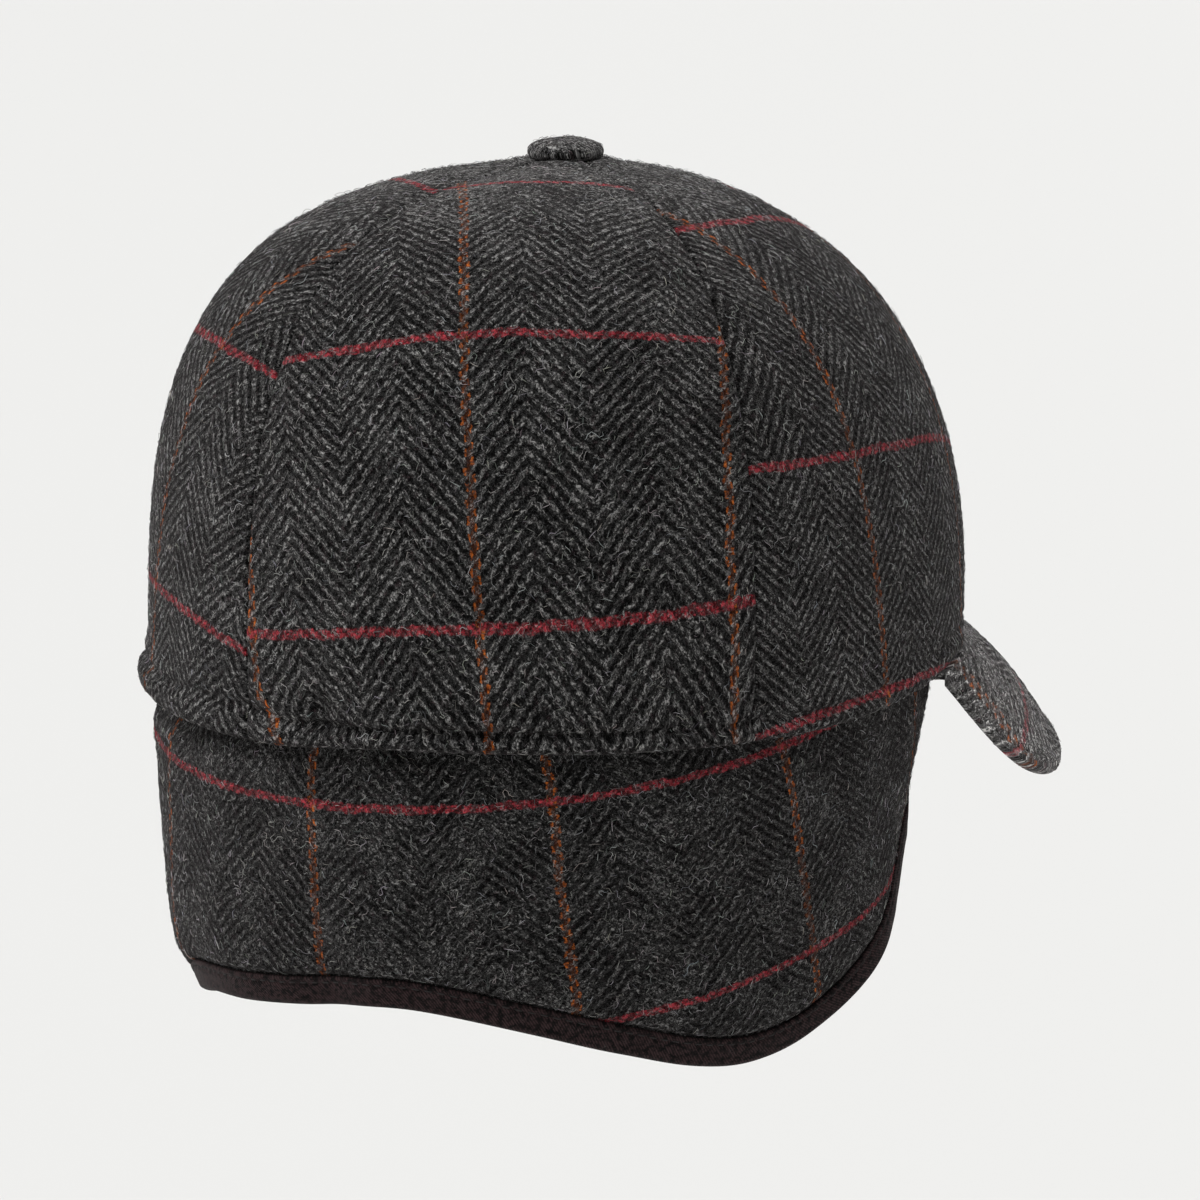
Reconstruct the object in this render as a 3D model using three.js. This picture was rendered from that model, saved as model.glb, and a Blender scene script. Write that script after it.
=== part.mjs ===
// A peaked tweed cap with a fold-down ear and neck flap, in millimetres.
// +Z is up, the peak points along -Y, the wearer's left is +X, and the origin is the centre of
// the opening where the head goes in, on the plane of the crown's rim.
// Angles run round the head in degrees, from 0 at the back centre to 180 at the front centre.
// A positive angle lies on the wearer's right.

import * as THREE from 'three';

// Crown
const CROWN_HALF_WIDTH = 90;
const CROWN_HALF_LENGTH = 102;
const CROWN_HEIGHT = 119.5;
const CROWN_WALL = 2.6;
const CROWN_LEAN = -1.6;
const SEAM_DIP = 0.9;
const SEAM_SPREAD = 4.5;
const PANEL_PUFF = 0.5;

// Hem, the turned edge of the crown
const HEM_HEIGHT = 7;
const HEM_THICKNESS = 4.5;
const HEM_ROLL = 1.7;
const HEM_CREASE = 0.9;
const RIM_ARCH = 8;

// Button on top, whose shank closes the hole where the panels meet
const BUTTON_DIAMETER = 17.8;
const BUTTON_HEIGHT = 5.1;
const SHANK_DIAMETER = 6.8;

// Flap and the tape bound over its edge
const FLAP_DROP = 78;
const FLAP_WALL = 3;
const FLAP_TUCK = 9;
const FLAP_LEAN = 20;
const FLAP_CURL = 5;
const FLAP_END_ANGLE = 156;
const FLAP_TOP_END_ANGLE = 149;
const BINDING_WIDTH = 7;
const BINDING_WALL = 1;
const BINDING_PROUD = 0.4;

// Peak
const PEAK_CORNER_ANGLE = 114;
const PEAK_LENGTH = 56.5;
const PEAK_THICKNESS = 5.3;
const PEAK_CORNER_THICKNESS = 1.6;
const PEAK_TUCK = 3.6;
const PEAK_SLOPE = 0.14;
const PEAK_DROP = 13.3;
const PEAK_SIDE_DROP = 42;
const PEAK_SIDE_POWER = 1.58;
const PEAK_OUTLINE_POWER = 1.83;

// Clearance between pieces that are sewn or pressed together
const FIT_GAP = 0.35;

// Shape of the crown's upright section: exponents of a superellipse, at the back and the front
const WIDTH_POWER = { back: 0.782, front: 0.94 };
const HEIGHT_POWER = { back: 0.545, front: 0.787 };

// Angles of the seams between the panels, from the back centre round to the front panel
const SEAMS = [0, 73, 140];

// Rim round the head: rise is a share of RIM_ARCH, roll a share of HEM_ROLL, and tall is how
// high the roll reaches, as a share of HEM_HEIGHT
const RIM = [
  { angle: -180, rise: 1.0, roll: 0.2, tall: 0.45 },
  { angle: -150, rise: 0.92, roll: 0.2, tall: 0.45 },
  { angle: -114, rise: 0.55, roll: 0.3, tall: 0.45 },
  { angle: -85, rise: 0.05, roll: 0.5, tall: 0.5 },
  { angle: -60, rise: -0.02, roll: 1.1, tall: 0.65 },
  { angle: -42, rise: 0.0, roll: 1.6, tall: 0.75 },
  { angle: -20, rise: -0.08, roll: 0.7, tall: 0.6 },
  { angle: 5, rise: -0.12, roll: 0.4, tall: 0.45 },
  { angle: 25, rise: 0.1, roll: 0.5, tall: 0.45 },
  { angle: 55, rise: 0.0, roll: 0.5, tall: 0.45 },
  { angle: 75, rise: -0.03, roll: 0.4, tall: 0.45 },
  { angle: 95, rise: 0.15, roll: 0.35, tall: 0.45 },
  { angle: 114, rise: 0.55, roll: 0.3, tall: 0.45 },
  { angle: 150, rise: 0.92, roll: 0.2, tall: 0.45 },
  { angle: 180, rise: 1.0, roll: 0.2, tall: 0.45 },
];

// Lower edge of the flap: drop below the rim as a share of FLAP_DROP
const FLAP_EDGE = [
  { angle: -156, drop: 0.0 },
  { angle: -151, drop: 0.22 },
  { angle: -144, drop: 0.36 },
  { angle: -134, drop: 0.46 },
  { angle: -122, drop: 0.59 },
  { angle: -111, drop: 0.76 },
  { angle: -99, drop: 0.89 },
  { angle: -88, drop: 0.975 },
  { angle: -76, drop: 1.0 },
  { angle: -57, drop: 0.985 },
  { angle: -42, drop: 0.925 },
  { angle: -25, drop: 0.855 },
  { angle: -10, drop: 0.82 },
  { angle: 5, drop: 0.788 },
  { angle: 18, drop: 0.775 },
  { angle: 30, drop: 0.795 },
  { angle: 44, drop: 0.845 },
  { angle: 57, drop: 0.912 },
  { angle: 68, drop: 0.968 },
  { angle: 78, drop: 0.99 },
  { angle: 88, drop: 0.965 },
  { angle: 99, drop: 0.875 },
  { angle: 111, drop: 0.74 },
  { angle: 122, drop: 0.57 },
  { angle: 134, drop: 0.46 },
  { angle: 144, drop: 0.36 },
  { angle: 151, drop: 0.22 },
  { angle: 156, drop: 0.0 },
];

// How far the hanging flap stands in from the rim: near is just under the rim, as a share of
// HEM_THICKNESS, lean is what it gains by its lowest point, as a share of FLAP_LEAN, and curl
// is how far its edge turns in, as a share of FLAP_CURL
const FLAP_HANG = [
  { angle: -180, near: 1.8, lean: 1.0, curl: 0.4 },
  { angle: -136, near: 1.7, lean: 1.0, curl: 0.4 },
  { angle: -120, near: 1.5, lean: 0.62, curl: 0.3 },
  { angle: -105, near: 1.25, lean: 0.16, curl: 0.25 },
  { angle: -75, near: 0.6, lean: 0.2, curl: 0.4 },
  { angle: -45, near: 0.05, lean: 0.25, curl: 0.7 },
  { angle: -20, near: 0.6, lean: 0.24, curl: 0.6 },
  { angle: 5, near: 1.0, lean: 0.28, curl: 0.5 },
  { angle: 45, near: 1.05, lean: 0.27, curl: 0.4 },
  { angle: 75, near: 1.1, lean: 0.25, curl: 0.4 },
  { angle: 105, near: 1.25, lean: 0.16, curl: 0.25 },
  { angle: 120, near: 1.5, lean: 0.62, curl: 0.3 },
  { angle: 136, near: 1.7, lean: 1.0, curl: 0.4 },
  { angle: 180, near: 1.8, lean: 1.0, curl: 0.4 },
];

// Soft dents in the crown: height above the rim and depth as shares of HEM_HEIGHT and HEM_ROLL,
// width and tall, the dent's reach round the head and upward, as shares of HEM_HEIGHT
const DENTS = [
  { angle: 9, height: 0.85, depth: 0.9, width: 1.1, tall: 0.6 },
  { angle: 22, height: 2.6, depth: 0.35, width: 2.6, tall: 1.2 },
  { angle: -22, height: 1.5, depth: 0.4, width: 1.8, tall: 1.2 },
  { angle: 70, height: 1.2, depth: 0.35, width: 1.6, tall: 0.9 },
  { angle: -70, height: 1.3, depth: 0.35, width: 1.6, tall: 0.9 },
];

// Soft upright folds in the flap: lift as a share of FLAP_WALL, width in degrees,
// from and to as shares of FLAP_DROP
const FLAP_FOLDS = [
  { angle: 10, lift: -0.45, width: 5, from: 0.15, to: 1.0 },
  { angle: 18, lift: 0.3, width: 6, from: 0.2, to: 1.0 },
  { angle: -8, lift: 0.3, width: 8, from: 0.3, to: 1.0 },
  { angle: 92, lift: 0.35, width: 9, from: 0.2, to: 0.9 },
  { angle: 62, lift: -0.3, width: 10, from: 0.3, to: 1.0 },
  { angle: -92, lift: 0.35, width: 9, from: 0.2, to: 0.9 },
];

// Sections along each sewn piece
const PANEL_STEP_ANGLE = 6.2;
const FLAP_STEPS = 62;
const PEAK_STEPS = 26;
const BUTTON_SIDES = 18;

const radians = THREE.MathUtils.degToRad;
const UP = new THREE.Vector3(0, 0, 1);

// The same direction as an angle from -180 to 180
function wrapped(angle) {
  return THREE.MathUtils.euclideanModulo(angle + 180, 360) - 180;
}

// Smooth value of one column of a table at an angle
function fromTable(rows, angle, column) {
  const last = rows.length - 1;
  const at = THREE.MathUtils.clamp(wrapped(angle), rows[0].angle, rows[last].angle);
  let i = 0;
  while (i < last - 1 && rows[i + 1].angle < at) i += 1;
  const [before, a, b, after] = [i - 1, i, i + 1, i + 2].map(
    (k) => rows[THREE.MathUtils.clamp(k, 0, last)]
  );
  const span = b.angle - a.angle;
  const t = (at - a.angle) / span;
  const slopeA = ((b[column] - before[column]) / (b.angle - before.angle)) * span;
  const slopeB = ((after[column] - a[column]) / (after.angle - a.angle)) * span;
  const rise = b[column] - a[column];
  return (
    a[column] +
    t * slopeA +
    t * t * (3 * rise - 2 * slopeA - slopeB) +
    t * t * t * (slopeA + slopeB - 2 * rise)
  );
}

// A smooth bump of height 1 at 0 that has faded out beyond 2
function bump(x) {
  return Math.exp(-x * x);
}

function rimRise(angle) {
  return RIM_ARCH * fromTable(RIM, angle, 'rise');
}

// Power between its back and front values, round the head
function powerAt(power, angle) {
  const share = (1 + Math.cos(radians(angle))) / 2;
  return power.front + (power.back - power.front) * share;
}

// Turn up the section, 0 at the rim and a right angle at the top, that reaches a height or radius
function turnAtHeight(angle, height) {
  return Math.asin((height / CROWN_HEIGHT) ** (1 / powerAt(HEIGHT_POWER, angle)));
}

function turnAtRadius(angle, share) {
  return Math.acos(share ** (1 / powerAt(WIDTH_POWER, angle)));
}

// The crown's plain surface, before seams, hem and dents
function crownSurface(angle, turn) {
  const share = Math.cos(turn) ** powerAt(WIDTH_POWER, angle);
  const climb = Math.sin(turn) ** powerAt(HEIGHT_POWER, angle);
  return new THREE.Vector3(
    -CROWN_HALF_WIDTH * share * Math.sin(radians(angle)),
    CROWN_HALF_LENGTH * share * Math.cos(radians(angle)) + CROWN_LEAN * climb,
    CROWN_HEIGHT * climb + rimRise(angle) * (1 - climb) ** 2
  );
}

function crownNormal(angle, turn) {
  const step = 0.01;
  const low = Math.max(turn - step, 1e-4);
  const high = Math.min(turn + step, Math.PI / 2 - 1e-3);
  const along = crownSurface(angle, high).sub(crownSurface(angle, low));
  const round = crownSurface(angle + 1, turn).sub(crownSurface(angle - 1, turn));
  return round.cross(along).normalize();
}

// Outward normal of the rim's oval
function rimNormal(angle) {
  return new THREE.Vector3(
    -Math.sin(radians(angle)) / CROWN_HALF_WIDTH,
    Math.cos(radians(angle)) / CROWN_HALF_LENGTH,
    0
  ).normalize();
}

function rimPoint(angle) {
  return crownSurface(angle, 0);
}

// Distance round the head for a difference of angle, at a share of the rim's radius
function arcLength(angleStep, share) {
  return (radians(angleStep) * share * (CROWN_HALF_WIDTH + CROWN_HALF_LENGTH)) / 2;
}

// How far the cloth stands out of the plain surface: puffed panels, seams, rolled hem and dents
function crownRelief(angle, turn) {
  const point = crownSurface(angle, turn);
  const height = point.z - rimRise(angle);
  const share = Math.cos(turn) ** powerAt(WIDTH_POWER, angle);
  let nearest = Infinity;
  for (const seam of SEAMS) {
    nearest = Math.min(nearest, Math.abs(Math.abs(wrapped(angle)) - seam));
  }
  const fromSeam = Math.abs(arcLength(nearest, share));
  let relief = -SEAM_DIP * bump(fromSeam / SEAM_SPREAD);
  relief += PANEL_PUFF * (1 - bump(fromSeam / (4 * SEAM_SPREAD))) * Math.sin(2 * turn);
  const rollTall = HEM_HEIGHT * fromTable(RIM, angle, 'tall');
  relief += HEM_ROLL * fromTable(RIM, angle, 'roll') * bump((height - 0.9 * rollTall) / rollTall);
  relief -= HEM_CREASE * bump((height - 1.1 * HEM_HEIGHT) / (0.3 * HEM_HEIGHT));
  for (const dent of DENTS) {
    const aside = arcLength(wrapped(angle - dent.angle), 1) / (dent.width * HEM_HEIGHT);
    const above = (height - dent.height * HEM_HEIGHT) / (dent.tall * HEM_HEIGHT);
    relief -= HEM_ROLL * dent.depth * bump(aside) * bump(above);
  }
  return relief;
}

// A closed solid through sections that each have an outer and an inner path of equal length
function sweptShell(sections) {
  const positions = [];
  const index = [];
  const reach = sections[0].outer.length;
  const ring = 2 * reach;
  for (const { outer, inner } of sections) {
    for (const point of [...outer, ...[...inner].reverse()]) {
      positions.push(point.x, point.y, point.z);
    }
  }
  for (let j = 0; j < sections.length - 1; j += 1) {
    for (let i = 0; i < ring; i += 1) {
      const a = j * ring + i;
      const b = j * ring + ((i + 1) % ring);
      index.push(a, b, b + ring, a, b + ring, a + ring);
    }
  }
  const end = (sections.length - 1) * ring;
  for (let i = 0; i < reach - 1; i += 1) {
    const across = ring - 1 - i;
    index.push(i, across, i + 1, i + 1, across, across - 1);
    index.push(end + i, end + i + 1, end + across, end + i + 1, end + across - 1, end + across);
  }
  const geometry = new THREE.BufferGeometry();
  geometry.setAttribute('position', new THREE.Float32BufferAttribute(positions, 3));
  geometry.setIndex(signedVolume(positions, index) < 0 ? index.reverse() : index);
  geometry.computeVertexNormals();
  return geometry;
}

function signedVolume(positions, index) {
  const corner = (k) => new THREE.Vector3().fromArray(positions, 3 * index[k]);
  let volume = 0;
  for (let k = 0; k < index.length; k += 3) {
    volume += corner(k).dot(corner(k + 1).cross(corner(k + 2))) / 6;
  }
  return volume;
}

// Rows of a panel, from just over the hem's round bottom up to the hole under the button
function panelTurns(angle) {
  const hemShares = [0.5, 0.8, 1.1, 1.45, 2];
  const heightShares = [0.2, 0.34, 0.48, 0.61, 0.73];
  const radiusShares = [0.64, 0.5, 0.37, 0.25, 0.14];
  const holeShare = (0.5 * SHANK_DIAMETER + FIT_GAP) / CROWN_HALF_WIDTH;
  return [
    turnAtHeight(angle, 0.5 * HEM_THICKNESS),
    ...hemShares.map((share) => turnAtHeight(angle, share * HEM_HEIGHT)),
    ...heightShares.map((share) => turnAtHeight(angle, share * CROWN_HEIGHT)),
    ...radiusShares.map((share) => turnAtRadius(angle, share)),
    turnAtRadius(angle, holeShare),
  ];
}

// One panel of the crown between two seams, with its hem turned in
function panelGeometry(from, to) {
  const steps = Math.round(Math.abs(to - from) / PANEL_STEP_ANGLE);
  const sections = [];
  for (let j = 0; j <= steps; j += 1) {
    const share = j / steps;
    const middle = from + (to - from) * share;
    const outer = [];
    const inner = [];
    panelTurns(middle).forEach((turn, row) => {
      // The seam's gap has the same width from the rim to the hole
      const radius = Math.cos(turn) ** powerAt(WIDTH_POWER, middle) * CROWN_HALF_WIDTH;
      const inset = THREE.MathUtils.radToDeg((0.5 * FIT_GAP) / radius);
      const angle = from + inset + (to - from - 2 * inset) * share;
      const plain = crownSurface(angle, turn);
      const normal = crownNormal(angle, turn);
      const height = plain.z - rimRise(angle);
      const turned = 1 - THREE.MathUtils.smoothstep(height, HEM_HEIGHT, 1.6 * HEM_HEIGHT);
      const wall = CROWN_WALL + (HEM_THICKNESS - CROWN_WALL) * turned;
      const out = plain.clone().addScaledVector(normal, crownRelief(angle, turn));
      const into = plain.clone().addScaledVector(normal, -wall);
      if (row === 0) {
        // The hem's round bottom joins the outside and the inside
        for (const lap of [0.8, 0.4]) {
          const side = out.clone().lerp(into, 0.5 * lap ** 2);
          const other = into.clone().lerp(out, 0.5 * lap ** 2);
          const down = -0.5 * HEM_THICKNESS * Math.sin(lap * 0.5 * Math.PI);
          outer.push(side.addScaledVector(UP, down));
          inner.push(other.addScaledVector(UP, down));
        }
      }
      outer.push(out);
      inner.push(into);
    });
    sections.push({ outer, inner });
  }
  return sweptShell(sections);
}

// The covered button: a dome with a rounded under edge, on a shank through the crown
function buttonGeometry() {
  const radius = 0.5 * BUTTON_DIAMETER;
  const shank = 0.5 * SHANK_DIAMETER;
  const profile = [
    [0, -CROWN_WALL],
    [shank, -CROWN_WALL],
    [shank, FIT_GAP],
    [0.86 * radius, FIT_GAP],
    [0.97 * radius, FIT_GAP + 0.16 * BUTTON_HEIGHT],
    [radius, FIT_GAP + 0.36 * BUTTON_HEIGHT],
    [0.97 * radius, FIT_GAP + 0.56 * BUTTON_HEIGHT],
    [0.86 * radius, FIT_GAP + 0.75 * BUTTON_HEIGHT],
    [0.62 * radius, FIT_GAP + 0.9 * BUTTON_HEIGHT],
    [0.33 * radius, FIT_GAP + 0.98 * BUTTON_HEIGHT],
    [0, FIT_GAP + BUTTON_HEIGHT],
  ];
  const points = profile.map(([out, up]) => new THREE.Vector2(out, up));
  const geometry = new THREE.LatheGeometry(points, BUTTON_SIDES);
  geometry.rotateX(Math.PI / 2);
  return geometry;
}

// Depth under the rim of the flap's lower edge
function flapDrop(angle) {
  return FLAP_DROP * fromTable(FLAP_EDGE, angle, 'drop');
}

// Lift of the flap's soft folds
function flapFold(angle, depth) {
  let lift = 0;
  for (const fold of FLAP_FOLDS) {
    const share = depth / FLAP_DROP;
    const fade = THREE.MathUtils.smoothstep(share, fold.from, 0.5 * (fold.from + fold.to));
    lift += FLAP_WALL * fold.lift * fade * bump((angle - fold.angle) / fold.width);
  }
  return lift;
}

// Outer surface of the flap, at a depth under the rim. Above the rim it lies inside the hem.
function flapSurface(angle, depth) {
  const tucked = HEM_THICKNESS + FIT_GAP + BINDING_PROUD;
  const near = HEM_THICKNESS * fromTable(FLAP_HANG, angle, 'near');
  const lean = FLAP_LEAN * fromTable(FLAP_HANG, angle, 'lean');
  const below = Math.max(depth, 0);
  const fromEdge = (flapDrop(angle) - below) / (1.4 * BINDING_WIDTH);
  const curl = FLAP_CURL * fromTable(FLAP_HANG, angle, 'curl') * bump(fromEdge);
  const hanging = near + lean * (below / FLAP_DROP) ** 1.4 + curl - flapFold(angle, below);
  const freed = THREE.MathUtils.smoothstep(depth, 0.5, HEM_HEIGHT);
  const inset = tucked + (hanging - tucked) * freed;
  return rimPoint(angle)
    .addScaledVector(rimNormal(angle), -inset)
    .addScaledVector(UP, -depth);
}

function flapNormal(angle, depth) {
  const round = flapSurface(angle + 1, depth).sub(flapSurface(angle - 1, depth));
  const down = flapSurface(angle, depth + 1).sub(flapSurface(angle, depth - 1));
  return round.cross(down).negate().normalize();
}

// Point of the flap that lies in from its lower edge, and out of its outer surface
function flapPoint(angle, depth, out) {
  return flapSurface(angle, depth).addScaledVector(flapNormal(angle, depth), out);
}

// Places along the flap's edge, each with the way in from the edge, across the cloth
function flapColumns() {
  const columns = [];
  const degree = arcLength(1, 1);
  for (let j = 0; j <= FLAP_STEPS; j += 1) {
    // Steps are finer at the front ends, where the edge climbs steeply
    const share = (2 * j) / FLAP_STEPS - 1;
    const eased = 0.8 * share + 0.2 * Math.sin(0.5 * Math.PI * share);
    const angle = FLAP_END_ANGLE * eased;
    const depth = flapDrop(angle);
    const slope = (flapDrop(angle + 0.5) - flapDrop(angle - 0.5)) / degree;
    const length = Math.hypot(slope, 1);
    columns.push({
      angle,
      depth,
      // A step of one millimetre in from the edge, in degrees and in depth
      angleIn: slope / length / degree,
      depthIn: -1 / length,
      topAngle: (angle * FLAP_TOP_END_ANGLE) / FLAP_END_ANGLE,
    });
  }
  return columns;
}

// How deep the flap is pressed in under the tape, on each face
const BINDING_RECESS = BINDING_WALL + FIT_GAP - BINDING_PROUD;

function flapGeometry() {
  const bottom = BINDING_WALL + FIT_GAP;
  const shoulder = BINDING_WIDTH + FIT_GAP;
  const core = [
    { across: bottom, pressed: 0.85 },
    { across: bottom + 0.7, pressed: 0.4 },
    { across: 0.6 * BINDING_WIDTH, pressed: 0 },
    { across: shoulder, pressed: 0 },
  ];
  const rows = [0, 0.14, 0.3, 0.46, 0.62, 0.76, 0.89, 1];
  const half = 0.5 * (FLAP_WALL - 2 * BINDING_RECESS);
  const sections = flapColumns().map((column) => {
    const outer = [];
    const inner = [];
    for (const { across, pressed } of core) {
      const angle = column.angle + across * column.angleIn;
      const depth = column.depth + across * column.depthIn;
      const out = -BINDING_RECESS - half * pressed;
      outer.push(flapPoint(angle, depth, out));
      inner.push(flapPoint(angle, depth, -FLAP_WALL - out));
    }
    const start = shoulder + 0.8;
    const startAngle = column.angle + start * column.angleIn;
    const startDepth = column.depth + start * column.depthIn;
    for (const row of rows) {
      const angle = startAngle + (column.topAngle - startAngle) * row;
      const depth = startDepth + (-FLAP_TUCK - startDepth) * row;
      outer.push(flapPoint(angle, depth, 0));
      inner.push(flapPoint(angle, depth, -FLAP_WALL));
    }
    return { outer, inner };
  });
  return sweptShell(sections);
}

// Tape folded over the flap's edge: out is measured from the flap's outer face
function bindingGeometry() {
  const inside = BINDING_PROUD - BINDING_WALL;
  const middle = -0.5 * FLAP_WALL;
  const leg = [
    { across: BINDING_WIDTH, outer: BINDING_PROUD, inner: inside },
    { across: 0.5 * BINDING_WIDTH, outer: BINDING_PROUD, inner: inside },
    { across: 1.5 * BINDING_WALL, outer: BINDING_PROUD, inner: inside },
  ];
  const sections = flapColumns().map((column) => {
    const place = (across, out) =>
      flapPoint(column.angle + across * column.angleIn, column.depth + across * column.depthIn, out);
    const mirrored = (out) => 2 * middle - out;
    const outer = leg.map(({ across, outer: out }) => place(across, out));
    const inner = leg.map(({ across, inner: out }) => place(across, out));
    outer.push(place(0.35 * BINDING_WALL, 0.55 * middle));
    inner.push(place(1.1 * BINDING_WALL, 0.7 * middle));
    outer.push(place(0, middle));
    inner.push(place(BINDING_WALL, middle));
    outer.push(place(0.35 * BINDING_WALL, mirrored(0.55 * middle)));
    inner.push(place(1.1 * BINDING_WALL, mirrored(0.7 * middle)));
    for (const { across, outer: out, inner: into } of [...leg].reverse()) {
      outer.push(place(across, mirrored(out)));
      inner.push(place(across, mirrored(into)));
    }
    return { outer, inner };
  });
  return sweptShell(sections);
}

// Height of the peak's top, ahead of the rim: it turns down along its length and at its sides
function peakTop(x, ahead, angle) {
  const aside = Math.abs(x) / (CROWN_HALF_WIDTH * Math.sin(radians(PEAK_CORNER_ANGLE)));
  const share = Math.max(ahead, 0) / PEAK_LENGTH;
  const slope = PEAK_SLOPE * PEAK_LENGTH + PEAK_SIDE_DROP * aside ** PEAK_SIDE_POWER;
  const curve = 2 * PEAK_DROP * share;
  return rimRise(angle) - FIT_GAP - (slope + curve) * share;
}

// Stiff peak: sections run from under the hem to the front edge
function peakGeometry() {
  const corner = radians(PEAK_CORNER_ANGLE);
  const halfWidth = CROWN_HALF_WIDTH * Math.sin(corner);
  const cornerY = CROWN_HALF_LENGTH * Math.cos(corner);
  const reach = CROWN_HALF_LENGTH + PEAK_LENGTH + cornerY;
  const outline = 2 / PEAK_OUTLINE_POWER;
  const rows = [0.12, 0.28, 0.45, 0.62, 0.78, 0.91];
  const sections = [];
  for (let j = 0; j <= PEAK_STEPS; j += 1) {
    const swing = Math.PI * (j / PEAK_STEPS);
    const side = Math.cos(swing);
    const x = halfWidth * Math.sign(side) * Math.abs(side) ** outline;
    const edgeY = cornerY - reach * Math.sin(swing) ** outline;
    const rootY = -CROWN_HALF_LENGTH * Math.sqrt(1 - (x / CROWN_HALF_WIDTH) ** 2);
    const angle = (Math.atan2(-x / CROWN_HALF_WIDTH, rootY / CROWN_HALF_LENGTH) * 180) / Math.PI;
    const length = rootY - edgeY;
    // The peak thins out at its corners, where it is sewn into the rim
    const thin = Math.abs(side) ** 10;
    const thickness = PEAK_THICKNESS + (PEAK_CORNER_THICKNESS - PEAK_THICKNESS) * thin;
    const outer = [];
    const inner = [];
    const add = (point, ahead, top, bottom) => {
      const height = peakTop(x, ahead, angle);
      outer.push(new THREE.Vector3(point.x, point.y, height + top));
      inner.push(new THREE.Vector3(point.x, point.y, height + bottom));
    };
    const root = new THREE.Vector3(x, rootY, 0);
    const tucked = root.clone().addScaledVector(rimNormal(angle), -PEAK_TUCK);
    add(tucked, 0, 0, -thickness);
    add(root, 0, 0, -thickness);
    for (const row of rows) {
      add(new THREE.Vector3(x, rootY - length * row, 0), length * row, 0, -thickness);
    }
    // The front edge is rounded: the last rows close in on the middle of the thickness
    const nose = 0.5 * thickness;
    const out = new THREE.Vector3(side * Math.abs(side) ** 0.2, -Math.sin(swing), 0).normalize();
    for (const [lap, half] of [[0, 0.86], [0.6 * nose, 0.35]]) {
      const point = new THREE.Vector3(x, edgeY, 0).addScaledVector(out, lap);
      add(point, length, -nose + half * nose, -nose - half * nose);
    }
    sections.push({ outer, inner });
  }
  return sweptShell(sections);
}

const TWEED = new THREE.Color(0x3b3b3d);
const TAPE = new THREE.Color(0x17110f);

function piece(name, geometry, colour, roughness) {
  const material = new THREE.MeshStandardMaterial({ color: colour, roughness, metalness: 0 });
  const mesh = new THREE.Mesh(geometry, material);
  mesh.name = name;
  return mesh;
}

const cap = new THREE.Group();
const crown = new THREE.Group();
const [backSeam, sideSeam, frontSeam] = SEAMS;
crown.add(
  piece('crown_panel_back_right', panelGeometry(backSeam, sideSeam), TWEED, 0.95),
  piece('crown_panel_back_left', panelGeometry(-sideSeam, backSeam), TWEED, 0.95),
  piece('crown_panel_side_right', panelGeometry(sideSeam, frontSeam), TWEED, 0.95),
  piece('crown_panel_side_left', panelGeometry(-frontSeam, -sideSeam), TWEED, 0.95),
  piece('crown_panel_front', panelGeometry(frontSeam, 360 - frontSeam), TWEED, 0.95)
);
const button = piece('top_button', buttonGeometry(), TWEED, 0.95);
button.position.set(0, CROWN_LEAN, CROWN_HEIGHT);
crown.add(button);
cap.add(crown);
cap.add(piece('peak', peakGeometry(), TWEED, 0.95));

const flap = new THREE.Group();
flap.add(piece('ear_flap', flapGeometry(), TWEED, 0.95));
flap.add(piece('flap_binding', bindingGeometry(), TAPE, 0.8));
cap.add(flap);

export default cap;
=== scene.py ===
import math

import bpy
import numpy as np
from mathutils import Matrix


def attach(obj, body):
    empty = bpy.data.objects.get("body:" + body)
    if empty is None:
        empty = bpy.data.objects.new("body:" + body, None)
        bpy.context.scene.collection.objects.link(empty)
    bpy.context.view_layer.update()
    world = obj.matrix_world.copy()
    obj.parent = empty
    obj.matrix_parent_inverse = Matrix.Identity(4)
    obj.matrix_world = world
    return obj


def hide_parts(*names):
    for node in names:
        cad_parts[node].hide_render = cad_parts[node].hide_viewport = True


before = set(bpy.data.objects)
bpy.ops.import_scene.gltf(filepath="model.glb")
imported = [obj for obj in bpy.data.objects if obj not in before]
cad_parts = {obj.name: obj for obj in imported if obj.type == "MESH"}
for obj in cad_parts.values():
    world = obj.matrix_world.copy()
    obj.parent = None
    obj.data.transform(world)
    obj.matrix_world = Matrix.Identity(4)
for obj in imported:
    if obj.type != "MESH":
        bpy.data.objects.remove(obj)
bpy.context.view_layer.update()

# A charcoal herringbone tweed cap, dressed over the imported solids.
# Sizes are in millimetres until a mesh is made, in the frame of the solids: +Z is up, the peak
# points along -Y, and angles run round the head from 0 at the back centre, positive on the
# wearer's right.

MM = 0.001

# Crown, with the same sizes as the solids
CROWN_HALF_WIDTH = 90.0
CROWN_HALF_LENGTH = 102.0
CROWN_HEIGHT = 119.5
CROWN_WALL = 2.6
CROWN_LEAN = -1.6
SEAM_DIP = 0.9
SEAM_SPREAD = 4.5
PANEL_PUFF = 0.5
HEM_HEIGHT = 7.0
HEM_THICKNESS = 4.5
HEM_ROLL = 1.7
RIM_ARCH = 8.0
WIDTH_POWER = {"back": 0.782, "front": 0.94}
HEIGHT_POWER = {"back": 0.545, "front": 0.787}
SEAMS = (0.0, 73.0, 140.0)

# Button
BUTTON_DIAMETER = 17.8
BUTTON_HEIGHT = 5.1
SHANK_DIAMETER = 6.8

# Flap and tape
FLAP_DROP = 78.0
FLAP_WALL = 3.0
FLAP_TUCK = 9.0
FLAP_LEAN = 20.0
FLAP_CURL = 5.0
FLAP_END_ANGLE = 156.0
FLAP_TOP_END_ANGLE = 149.0
BINDING_WIDTH = 7.0
BINDING_WALL = 1.0
BINDING_PROUD = 0.4

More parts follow.
